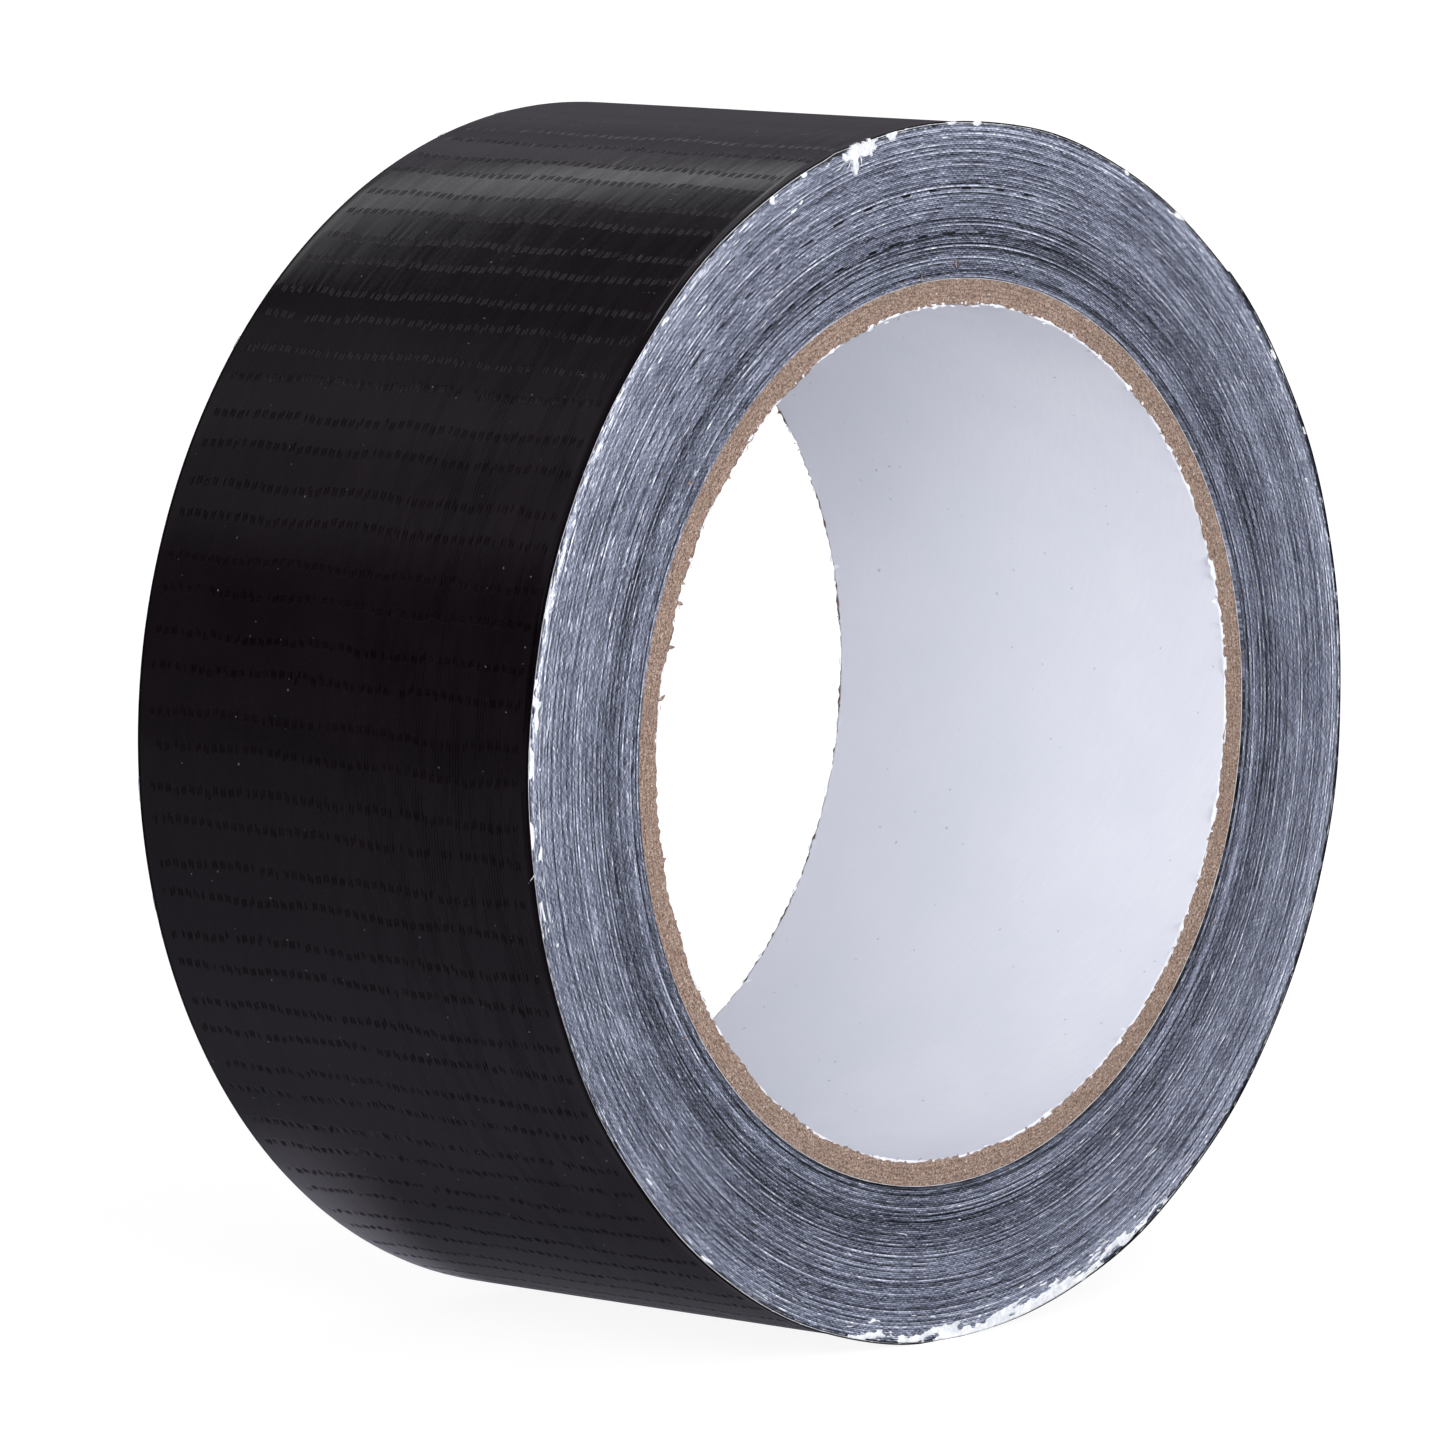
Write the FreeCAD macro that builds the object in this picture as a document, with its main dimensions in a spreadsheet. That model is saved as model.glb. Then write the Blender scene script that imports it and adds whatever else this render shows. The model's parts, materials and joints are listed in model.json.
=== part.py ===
"""Roll of cloth-backed duct tape on a spiral-wound paper core, standing on its rim.

Frame: millimetres, +Z up. The origin is the centre of the core's bore, halfway across the tape, and the
roll's axis is Y. Angles round the roll run from +X towards +Z.

The tape is one strip, wound so that its outside grows by one tape thickness a turn. That spiral is drawn
with two half circles whose centres stand a quarter of the growth either side of the axis, on the line to
the tape's free edge: the first half turn after the free edge is the smaller one.
"""
import FreeCAD, Part
import math
import os

import Sketcher
from FreeCAD import Placement, Rotation, Vector

SHEET = "sizes"
PLY_COUNT = 4

# The driving dimensions, in millimetres and degrees: name, value, what it is.
DRIVING = [
    ("bore_diameter", 76.2, "inside of the core"),
    ("liner_thickness", 0.25, "white paper inside the core"),
    ("ply_thickness", 0.51, "one kraft board ply of the core"),
    ("core_length", 47.3, "core, end to end"),
    ("seam_gap", 0.3, "butt seam between a core strip's edges, along the axis"),
    ("seam_pitch", 137.0, "axial advance of a core strip in one turn"),
    ("seam_stagger", 75.0, "turn from one ply's seam to the next ply's"),
    ("liner_seam_angle", 200.0, "where the liner's seam starts"),
    ("roll_diameter", 108.6, "outside of the full roll, at the free edge"),
    ("tape_width", 47.8, "across the tape"),
    ("tape_thickness", 0.165, "one turn of tape: the spiral's growth"),
    ("film_thickness", 0.06, "polyethylene backing"),
    ("warp_thickness", 0.035, "cloth yarn that runs along the tape"),
    ("weft_thickness", 0.03, "cloth yarn that runs across the tape"),
    ("warp_width", 0.34, "flattened warp yarn, across"),
    ("warp_pitch", 0.98, "from one warp yarn to the next"),
    ("warp_count", 48, "warp yarns across the tape"),
    ("weft_width", 0.42, "flattened weft yarn, along the tape"),
    ("weft_pair_angle", 7.2, "from one pair of weft yarns to the next"),
    ("weft_pair_split", 3.15, "between the two weft yarns of a pair"),
    ("weft_lead", 1.0, "from a pair's sector edge to its first yarn"),
    ("free_edge_angle", 46.0, "direction of the tape's free edge"),
    ("tab_pairs", 4, "weft pairs in the end that peels up"),
]


class Driven:
    """A number and the sheet expression that gives it, worked out together."""

    def __init__(self, value, text):
        self.value = value
        self.text = text

    def combine(self, sign, other, value):
        text = other.text if isinstance(other, Driven) else repr(other)
        return Driven(value, f"({self.text} {sign} {text})")

    def __add__(self, other):
        return self.combine("+", other, self.value + number(other))

    def __sub__(self, other):
        return self.combine("-", other, self.value - number(other))

    def __mul__(self, other):
        return self.combine("*", other, self.value * number(other))

    def __truediv__(self, other):
        return self.combine("/", other, self.value / number(other))

    def __neg__(self):
        return Driven(-self.value, f"(0 - {self.text})")


def number(value):
    return value.value if isinstance(value, Driven) else value


def make_sheet(doc):
    sheet = doc.addObject("Spreadsheet::Sheet", SHEET)
    for row, (alias, value, note) in enumerate(DRIVING, start=1):
        sheet.set(f"A{row}", note)
        sheet.set(f"B{row}", str(value))
        sheet.setAlias(f"B{row}", alias)
    doc.recompute()
    return {alias: Driven(value, f"{SHEET}.{alias}") for alias, value, _ in DRIVING}


def bind(thing, name, driven):
    thing.setExpression(name, driven.text)


# ---- bodies and sketches -------------------------------------------------------------------------------


def new_body(doc, label, turn=None):
    """An empty body. turn, if given, is how far it is turned round the roll's axis, towards +Z."""
    body = doc.addObject("PartDesign::Body", label)
    body.Label = label
    body.AllowCompound = True
    if turn is not None:
        body.Placement = Placement(Vector(), Rotation(Vector(0, -1, 0), turn.value))
        bind(body, "Placement.Rotation.Angle", turn)
    return body


def new_sketch(body, name, plane, offset_x=None, offset_z=None):
    sketch = body.newObject("Sketcher::SketchObject", name)
    origin_plane = next(f for f in body.Origin.OriginFeatures if f.Role == plane)
    sketch.AttachmentSupport = [(origin_plane, "")]
    sketch.MapMode = "FlatFace"
    for letter, offset in (("x", offset_x), ("z", offset_z)):
        if offset is not None:
            bind(sketch, f"AttachmentOffset.Base.{letter}", offset)
    return sketch


def constrain(sketch, kind, *where):
    sketch.addConstraint(Sketcher.Constraint(kind, *where))


def dimension(sketch, name, kind, where, driven):
    """A named constraint whose value follows the sheet. An angle is held in degrees."""
    value = math.radians(driven.value) if kind == "Angle" else driven.value
    index = sketch.addConstraint(Sketcher.Constraint(kind, *where, value))
    sketch.renameConstraint(index, name)
    bind(sketch, f"Constraints.{name}", driven)


X_AXIS = -1
ORIGIN = (-1, 1)
START, END, CENTRE = 1, 2, 3


def add_arc(sketch, centre_x, radius, start_degrees, end_degrees):
    circle = Part.Circle(Vector(centre_x, 0, 0), Vector(0, 0, 1), radius)
    arc = Part.ArcOfCircle(circle, math.radians(start_degrees), math.radians(end_degrees))
    return sketch.addGeometry(arc)


def add_line(sketch, start_arc, start_point, end_arc, end_point):
    """A line from one arc's end to another's."""
    points = [curve_point(sketch, start_arc, start_point), curve_point(sketch, end_arc, end_point)]
    line = sketch.addGeometry(Part.LineSegment(*points))
    constrain(sketch, "Coincident", line, START, start_arc, start_point)
    constrain(sketch, "Coincident", line, END, end_arc, end_point)
    return line


def curve_point(sketch, curve, point):
    geometry = sketch.Geometry[curve]
    return geometry.StartPoint if point == START else geometry.EndPoint


def add_circle(sketch, name, radius):
    circle = sketch.addGeometry(Part.Circle(Vector(), Vector(0, 0, 1), radius.value))
    constrain(sketch, "Coincident", circle, CENTRE, *ORIGIN)
    dimension(sketch, name, "Radius", (circle,), radius)


def pad_across(body, sketch, length, name="pad"):
    """Pads the sketch equally to both sides of its plane."""
    pad = body.newObject("PartDesign::Pad", name)
    pad.Profile = sketch
    pad.SideType = "Symmetric"
    pad.Length = length.value
    bind(pad, "Length", length)
    return pad


# ---- the paper core ------------------------------------------------------------------------------------


def tube(doc, label, inner_radius, outer_radius, length, turn=None):
    body = new_body(doc, label, turn)
    sketch = new_sketch(body, f"{label}_section", "XZ_Plane")
    add_circle(sketch, "inner_radius", inner_radius)
    add_circle(sketch, "outer_radius", outer_radius)
    pad_across(body, sketch, length)
    return body


def wound_strip_tube(doc, size, label, inner_radius, outer_radius, turn):
    """One paper strip wound into a tube: its edges meet along a helix with a small gap."""
    body = tube(doc, label, inner_radius, outer_radius, size["core_length"], turn)
    doc.recompute()
    whole = body.Shape.Volume
    past = size["seam_gap"] * 4
    sketch = new_sketch(body, f"{label}_seam_profile", "XY_Plane")
    left = inner_radius - size["liner_thickness"]
    right = outer_radius + size["liner_thickness"]
    low = -(size["core_length"] / 2 + past)
    add_rectangle(sketch, left, right, low, size["seam_gap"])
    seam = body.newObject("PartDesign::SubtractiveHelix", f"{label}_seam")
    seam.Profile = sketch
    seam.ReferenceAxis = (sketch, ["V_Axis"])
    seam.Mode = "pitch-height-angle"
    bind(seam, "Pitch", size["seam_pitch"])
    bind(seam, "Height", size["core_length"] + past * 2 - size["seam_gap"])
    doc.recompute()
    if not body.Shape.Volume < whole:
        raise ValueError(f"the seam cut nothing from {label}")
    return body


def add_rectangle(sketch, left, right, low, height):
    """A rectangle from left to right and upwards from low."""
    corners = [
        Vector(left.value, low.value, 0),
        Vector(right.value, low.value, 0),
        Vector(right.value, low.value + height.value, 0),
        Vector(left.value, low.value + height.value, 0),
    ]
    sides = [
        sketch.addGeometry(Part.LineSegment(corners[i], corners[(i + 1) % 4])) for i in range(4)
    ]
    for i in range(4):
        constrain(sketch, "Coincident", sides[i], END, sides[(i + 1) % 4], START)
    for side, kind in zip(sides, ("Horizontal", "Vertical", "Horizontal", "Vertical")):
        constrain(sketch, kind, side)
    dimension(sketch, "left", "DistanceX", (*ORIGIN, sides[0], START), left)
    dimension(sketch, "right", "DistanceX", (*ORIGIN, sides[0], END), right)
    dimension(sketch, "below", "DistanceY", (sides[0], START, *ORIGIN), -low)
    dimension(sketch, "height", "DistanceY", (sides[1], START, sides[1], END), height)


def make_core(doc, size):
    """The white liner and the kraft plies round it, and the radius of the core's outside."""
    bore_radius = size["bore_diameter"] / 2
    inner = bore_radius
    outer = inner + size["liner_thickness"]
    parts = [wound_strip_tube(doc, size, "core_liner", inner, outer, size["liner_seam_angle"])]
    for ply in range(1, PLY_COUNT + 1):
        inner = outer
        outer = inner + size["ply_thickness"]
        turn = size["liner_seam_angle"] + size["seam_stagger"] * ply
        parts.append(wound_strip_tube(doc, size, f"core_ply_{ply}", inner, outer, turn))
    return parts, outer


# ---- the wound tape ------------------------------------------------------------------------------------


class Turn:
    """The last turn of the tape, as two half circles seen along the axis.

    In the sketches the free edge lies on +X. The low half runs from there over the top to -X, and the
    high half on from -X round the bottom to the free edge.
    """

    def __init__(self, size):
        self.shift = size["tape_thickness"] / 4
        self.high_radius = size["roll_diameter"] / 2 - self.shift
        self.low_radius = self.high_radius - size["tape_thickness"] / 2
        self.tab_angle = size["weft_pair_angle"] * size["tab_pairs"]


def high_arc(sketch, turn, name, depth, start, end):
    """An arc of the high half at a depth under the tape's outside."""
    radius = turn.high_radius - depth
    arc = add_arc(sketch, turn.shift.value, radius.value, start, end)
    constrain(sketch, "PointOnObject", arc, CENTRE, X_AXIS)
    dimension(sketch, f"{name}_shift", "DistanceX", (*ORIGIN, arc, CENTRE), turn.shift)
    dimension(sketch, f"{name}_radius", "Radius", (arc,), radius)
    return arc


def low_arc(sketch, turn, name, depth, high):
    """The low half's arc that runs on into the given arc of the high half."""
    arc = add_arc(sketch, -turn.shift.value, (turn.low_radius - depth).value, 0, 180)
    constrain(sketch, "PointOnObject", arc, CENTRE, X_AXIS)
    dimension(sketch, f"{name}_shift", "DistanceX", (arc, CENTRE, *ORIGIN), turn.shift)
    constrain(sketch, "PointOnObject", high, START, X_AXIS)
    constrain(sketch, "Coincident", arc, END, high, START)
    constrain(sketch, "PointOnObject", arc, START, X_AXIS)
    return arc


def peel_line(sketch, turn, inner, inner_point, outer, outer_point):
    """The radial line where the tab starts, between two arcs of the high half."""
    line = add_line(sketch, inner, inner_point, outer, outer_point)
    constrain(sketch, "PointOnObject", outer, CENTRE, line)
    dimension(sketch, "peel_angle", "Angle", (line,), -turn.tab_angle)


def wrap_section(sketch, turn, outer_depth, inner_depth):
    """A layer of the last turn, from the free edge's place back round to the peel line."""
    peel = 360 - turn.tab_angle.value
    high_outer = high_arc(sketch, turn, "high_outer", outer_depth, 180, peel)
    high_inner = high_arc(sketch, turn, "high_inner", inner_depth, 180, peel)
    low_outer = low_arc(sketch, turn, "low_outer", outer_depth, high_outer)
    low_inner = low_arc(sketch, turn, "low_inner", inner_depth, high_inner)
    add_line(sketch, low_inner, START, low_outer, START)
    peel_line(sketch, turn, high_inner, END, high_outer, END)


def tab_section(sketch, turn, outer_depth, inner_depth):
    """A layer of the tape's loose end, from the peel line to the free edge."""
    start = -turn.tab_angle.value
    outer = high_arc(sketch, turn, "outer", outer_depth, start, 0)
    inner = high_arc(sketch, turn, "inner", inner_depth, start, 0)
    for arc in (outer, inner):
        constrain(sketch, "PointOnObject", arc, END, X_AXIS)
    add_line(sketch, inner, END, outer, END)
    peel_line(sketch, turn, inner, START, outer, START)


def sheet_layer(doc, size, label, section, turn, outer_depth, inner_depth):
    """A film or adhesive layer, as wide as the tape."""
    body = new_body(doc, label, size["free_edge_angle"])
    sketch = new_sketch(body, f"{label}_section", "XZ_Plane")
    section(sketch, turn, outer_depth, inner_depth)
    pad_across(body, sketch, size["tape_width"])
    return body


def warp_layer(doc, size, label, section, turn, outer_depth, inner_depth):
    """The yarns that run along the tape, side by side."""
    body = new_body(doc, label, size["free_edge_angle"])
    spread = size["warp_pitch"] * (size["warp_count"] - 1)
    sketch = new_sketch(body, f"{label}_section", "XZ_Plane", offset_z=-(spread / 2))
    section(sketch, turn, outer_depth, inner_depth)
    pad = pad_across(body, sketch, size["warp_width"])
    doc.recompute()
    pattern = body.newObject("PartDesign::LinearPattern", "yarns")
    pattern.Originals = [pad]
    pattern.Direction = (sketch, ["N_Axis"])
    bind(pattern, "Length", spread)
    bind(pattern, "Occurrences", size["warp_count"])
    body.Tip = pattern
    return body


def weft_yarn(sketch, name, outer_radius, inner_radius, middle, half_width):
    """The end of one yarn that lies across the tape: a short piece of ring about the sketch's origin."""
    first = middle - half_width
    last = middle + half_width
    arcs = []
    for which, radius in (("inner", inner_radius), ("outer", outer_radius)):
        arc = add_arc(sketch, 0, radius.value, first.value, last.value)
        constrain(sketch, "Coincident", arc, CENTRE, *ORIGIN)
        dimension(sketch, f"{name}_{which}_radius", "Radius", (arc,), radius)
        arcs.append(arc)
    for point, side, angle in ((START, "first", first), (END, "last", last)):
        line = add_line(sketch, arcs[0], point, arcs[1], point)
        constrain(sketch, "PointOnObject", *ORIGIN, line)
        dimension(sketch, f"{name}_{side}_angle", "Angle", (line,), angle)


def weft_pairs(doc, body, size, name, centre_x, radius, depths, start, pairs):
    """Pairs of yarns across the tape, on a half circle about centre_x, from the angle start onwards."""
    outer_depth, inner_depth = depths
    sketch = new_sketch(body, f"{name}_pair", "XZ_Plane", offset_x=centre_x)
    half_width = size["weft_width"] / 2 / radius * (180 / math.pi)
    middle = start + size["weft_lead"]
    for yarn in ("near", "far"):
        weft_yarn(sketch, yarn, radius - outer_depth, radius - inner_depth, middle, half_width)
        middle = middle + size["weft_pair_split"]
    pad = pad_across(body, sketch, size["tape_width"], f"{name}_pad")
    doc.recompute()
    pattern = body.newObject("PartDesign::PolarPattern", f"{name}_yarns")
    pattern.Originals = [pad]
    pattern.Axis = (sketch, ["N_Axis"])
    bind(pattern, "Angle", size["weft_pair_angle"] * (pairs - 1))
    bind(pattern, "Occurrences", pairs)
    body.Tip = pattern
    doc.recompute()


def make_tape(doc, size, core_radius):
    turn = Turn(size)
    edge = size["free_edge_angle"]
    film = size["film_thickness"]
    warp = film + size["warp_thickness"]
    weft = warp + size["weft_thickness"]
    tape = size["tape_thickness"]
    adhesive_thickness = tape - weft
    bonded_radius = core_radius + adhesive_thickness
    skin = Driven(0.0, "0")

    first_adhesive = tube(doc, "first_turn_adhesive", core_radius, bonded_radius, size["core_length"])
    pack = make_pack(doc, size, turn, bonded_radius)
    parts = [first_adhesive, pack]
    for name, section in (("outer_turn", wrap_section), ("end_tab", tab_section)):
        parts.append(sheet_layer(doc, size, f"{name}_adhesive", section, turn, weft, tape))
        parts.append(sheet_layer(doc, size, f"{name}_film", section, turn, skin, film))
        parts.append(warp_layer(doc, size, f"{name}_warp_yarns", section, turn, film, warp))

    half_turn = Driven(180.0, "180")
    half_pairs = half_turn / size["weft_pair_angle"]
    outer_weft = new_body(doc, "outer_turn_weft_yarns", edge)
    depths = (warp, weft)
    weft_pairs(
        doc, outer_weft, size, "low", -turn.shift, turn.low_radius, depths, Driven(0.0, "0"), half_pairs
    )
    bound_pairs = half_pairs - size["tab_pairs"]
    weft_pairs(
        doc, outer_weft, size, "high", turn.shift, turn.high_radius, depths, half_turn, bound_pairs
    )
    tab_weft = new_body(doc, "end_tab_weft_yarns", edge)
    weft_pairs(
        doc, tab_weft, size, "tab", turn.shift, turn.high_radius, depths, -turn.tab_angle, size["tab_pairs"]
    )
    return parts + [outer_weft, tab_weft]


def make_pack(doc, size, turn, inner_radius):
    """All the turns under the last one, stuck to each other. Its outside steps up at the free edge."""
    body = new_body(doc, "tape_pack", size["free_edge_angle"])
    sketch = new_sketch(body, "tape_pack_section", "XZ_Plane")
    high = high_arc(sketch, turn, "high", size["tape_thickness"], 180, 360)
    constrain(sketch, "PointOnObject", high, END, X_AXIS)
    low = low_arc(sketch, turn, "low", size["tape_thickness"], high)
    add_line(sketch, low, START, high, END)
    add_circle(sketch, "inner_radius", inner_radius)
    pad_across(body, sketch, size["tape_width"])
    return body


# ---- checks and files ----------------------------------------------------------------------------------


def check(doc, parts):
    for thing in doc.Objects:
        if {"Invalid", "Error"} & set(thing.State):
            raise ValueError(f"{thing.Name} failed: {thing.State}")
    for part in parts:
        if part.Shape.isNull() or not part.Shape.isValid() or not part.Shape.Solids:
            raise ValueError(f"{part.Label} has no valid solid")


def main():
    doc = FreeCAD.newDocument("duct_tape_roll")
    size = make_sheet(doc)
    core_parts, core_radius = make_core(doc, size)
    parts = core_parts + make_tape(doc, size, core_radius)
    doc.recompute()
    check(doc, parts)
    os.makedirs("parts", exist_ok=True)
    for part in parts:
        part.Shape.exportStep(f"parts/{part.Label}.step")
        print(f"{part.Label}: {len(part.Shape.Solids)} solids, {part.Shape.Volume:.2f} mm3")


main()
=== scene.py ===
import json
import math

import bpy
import numpy as np
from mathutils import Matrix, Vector

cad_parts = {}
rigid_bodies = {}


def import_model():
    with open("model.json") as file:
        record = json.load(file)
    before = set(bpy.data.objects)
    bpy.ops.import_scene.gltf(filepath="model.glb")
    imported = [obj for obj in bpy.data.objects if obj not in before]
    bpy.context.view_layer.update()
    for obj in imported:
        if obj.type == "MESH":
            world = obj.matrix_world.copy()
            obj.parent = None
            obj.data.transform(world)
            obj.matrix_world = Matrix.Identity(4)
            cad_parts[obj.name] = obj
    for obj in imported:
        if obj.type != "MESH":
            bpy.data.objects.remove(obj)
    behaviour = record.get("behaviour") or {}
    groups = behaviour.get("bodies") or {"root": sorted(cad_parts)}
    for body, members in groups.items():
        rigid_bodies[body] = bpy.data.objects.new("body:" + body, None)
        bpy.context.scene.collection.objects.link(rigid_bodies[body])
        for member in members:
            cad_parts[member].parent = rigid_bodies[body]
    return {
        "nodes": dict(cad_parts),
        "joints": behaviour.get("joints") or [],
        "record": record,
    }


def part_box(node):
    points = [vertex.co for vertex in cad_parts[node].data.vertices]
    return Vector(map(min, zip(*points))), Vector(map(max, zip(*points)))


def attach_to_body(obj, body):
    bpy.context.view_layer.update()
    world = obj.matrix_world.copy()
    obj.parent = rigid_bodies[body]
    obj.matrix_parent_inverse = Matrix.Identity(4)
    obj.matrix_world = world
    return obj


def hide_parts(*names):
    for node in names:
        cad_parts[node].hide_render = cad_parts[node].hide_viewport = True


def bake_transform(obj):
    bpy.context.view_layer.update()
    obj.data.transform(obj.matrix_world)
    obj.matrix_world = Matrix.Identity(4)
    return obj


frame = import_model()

# Looks for a roll of cloth-backed tape. Shapes are in millimetres in the frame's own axes: the roll's axis
# is Y, and angles run round it from +X towards +Z. Everything is seeded.
MM = 0.001
TURN = 2 * math.pi
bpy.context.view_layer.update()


# ---- sizes from the frame ----


def box_mm(node):
    low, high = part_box(node)
    return np.array(low) / MM, np.array(high) / MM


def outer_radius(node):
    high = box_mm(node)[1]
    return max(high[0], high[2])


def node_points(*nodes):
    return np.vstack([[v.co for v in frame["nodes"][n].data.vertices] for n in nodes]) / MM


def group_middles(values, gap):
    """The middles of the runs of values that stand more than gap apart."""
    values = np.unique(np.round(values, 5))
    runs = np.split(values, np.nonzero(np.diff(values) > gap)[0] + 1)
    return np.array([(run[0] + run[-1]) / 2 for run in runs])


mounts = {m["name"]: m for m in frame["record"]["mounts"]}
peel = frame["joints"][0]
ROLL, TAB = peel["parent"], peel["child"]
HINGE = np.array(peel["pos_m"]) / MM

BORE_RADIUS = mounts["core_bore"]["dims"]["r_mm"]
CORE_NODES = ["core_liner", "core_ply_1", "core_ply_2", "core_ply_3", "core_ply_4"]
CORE_RADII = [BORE_RADIUS] + [outer_radius(n) for n in CORE_NODES]
CORE_HALF = box_mm("core_ply_4")[1][1]
HALF_WIDTH = box_mm("outer_turn_film")[1][1]
TAPE = box_mm("outer_turn_film")[1][0] - box_mm("tape_pack")[1][0]
FILM = 0.36 * TAPE
HINGE_RADIUS = math.hypot(HINGE[0], HINGE[2])
HINGE_ANGLE = math.atan2(HINGE[2], HINGE[0])
EDGE_ANGLE = math.asin(box_mm("end_tab_film")[1][2] / HINGE_RADIUS)
ROLL_RADIUS = HINGE_RADIUS + TAPE * (EDGE_ANGLE - HINGE_ANGLE) / TURN
PACK_INNER = outer_radius("first_turn_adhesive")
MEAN_TURN = 300.0  # about how much tape there is in one turn
WARP_DEEP = 0.21 * TAPE
WEFT_DEEP = 0.18 * TAPE
ADHESIVE_TOP = FILM + WARP_DEEP + WEFT_DEEP
WARP_PLACES = group_middles(node_points("outer_turn_warp_yarns")[:, 1], 0.3)
weft_points = node_points("outer_turn_weft_yarns", "end_tab_weft_yarns")
weft_angles = np.arctan2(weft_points[:, 2], weft_points[:, 0])
WEFT_PLACES = group_middles((weft_angles - EDGE_ANGLE) % TURN, 0.01)
WARP_SPACING = float(np.median(np.diff(WARP_PLACES)))
WEFT_SPACING = float(np.median(np.diff(WEFT_PLACES)))


def polar(radius, angle, along):
    return np.stack([radius * np.cos(angle), along, radius * np.sin(angle)], -1)


def crowded(half, count):
    """Places from -half to half, closer together towards both ends."""
    return half * np.sin(np.linspace(-math.pi / 2, math.pi / 2, count))


# ---- smooth noise ----


def smooth_step(low, high, value):
    share = np.clip((np.asarray(value, float) - low) / (high - low), 0, 1)
    return share * share * (3 - 2 * share)


def ripple(angle, seed, waves, rough=1.0):
    """Seamless noise round the roll: about -1 to 1, with the given numbers of waves in a turn."""
    rng = np.random.default_rng(seed)
    total = np.zeros_like(np.asarray(angle, float))
    weight = 0.0
    for count in waves:
        size = rng.uniform(0.5, 1.0) * count ** (rough - 1)
        total += size * np.sin(count * np.asarray(angle) + rng.uniform(0, TURN))
        weight += size * size / 2
    return total / math.sqrt(2 * weight)


def wave_field(u, v, seed, count, low, high):
    """Smooth 2-D noise about -1 to 1: plane waves with wavelengths from low to high, in the units of u, v."""
    rng = np.random.default_rng(seed)
    total = np.zeros(np.broadcast(u, v).shape)
    for _ in range(count):
        wave = TURN / rng.uniform(low, high)
        heading = rng.uniform(0, math.pi)
        total += np.sin(wave * (u * math.cos(heading) + v * math.sin(heading)) + rng.uniform(0, TURN))
    return total / math.sqrt(2 * count)


# ---- meshes ----


def add_mesh(name, points, faces, material, sharp_faces=()):
    """A mesh object from points in millimetres. Faces in sharp_faces are flat, with hard edges."""
    mesh = bpy.data.meshes.new(name)
    used = np.zeros(len(points), bool)
    used[np.concatenate([np.asarray(face) for face in faces])] = True
    renumber = (np.cumsum(used) - 1).tolist()
    faces = [[renumber[k] for k in face] for face in faces]
    mesh.from_pydata((np.asarray(points, float)[used] * MM).tolist(), [], faces)
    mesh.validate()
    smooth = np.ones(len(mesh.polygons), bool)
    smooth[list(sharp_faces)] = False
    mesh.polygons.foreach_set("use_smooth", smooth)
    mesh.update()
    mesh.materials.append(material)
    thing = bpy.data.objects.new(name, mesh)
    bpy.context.scene.collection.objects.link(thing)
    return thing


def shade_as(piece, points):
    """Shades a piece as if its points lay at these places, so that its small dents are left to the bump."""
    mesh = piece.data
    quads = np.array([f.vertices[:] for f in mesh.polygons if len(f.vertices) == 4])
    areas = np.cross(points[quads[:, 2]] - points[quads[:, 0]], points[quads[:, 3]] - points[quads[:, 1]])
    normals = np.zeros_like(points)
    for corner in range(4):
        np.add.at(normals, quads[:, corner], areas)
    normals /= np.maximum(np.linalg.norm(normals, axis=1, keepdims=True), 1e-30)
    mesh.normals_split_custom_set_from_vertices(normals.tolist())


def grid_faces(rows, columns, closed_rows=False, closed_columns=False, first=0):
    """Quads over a rows x columns grid of points numbered row by row."""
    row_count = rows if closed_rows else rows - 1
    column_count = columns if closed_columns else columns - 1
    i, j = np.meshgrid(np.arange(row_count), np.arange(column_count), indexing="ij")
    ni, nj = (i + 1) % rows, (j + 1) % columns
    quads = np.stack([i * columns + j, i * columns + nj, ni * columns + nj, ni * columns + j], -1)
    return (quads.reshape(-1, 4) + first).tolist()


def capped_tube(rows, columns):
    """The faces of a tube whose rows of points run round it, and last its two end faces."""
    caps = [list(range(columns))[::-1], [(rows - 1) * columns + k for k in range(columns)]]
    return grid_faces(rows, columns, closed_columns=True) + caps


# ---- material nodes ----


def arithmetic(operation):
    return lambda value, other: value.nodes.math(operation, value, other)


class Value:
    """A node's output. Sums of values make math nodes."""

    __array_ufunc__ = None  # a numpy number on the left leaves the sum to this class
    __add__ = arithmetic("ADD")
    __sub__ = arithmetic("SUBTRACT")
    __mul__ = arithmetic("MULTIPLY")
    __truediv__ = arithmetic("DIVIDE")

    def __init__(self, nodes, socket):
        self.nodes = nodes
        self.socket = socket

    def __rsub__(self, other):
        return self.nodes.math("SUBTRACT", other, self)

    def __abs__(self):
        return self.nodes.math("ABSOLUTE", self)


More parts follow.
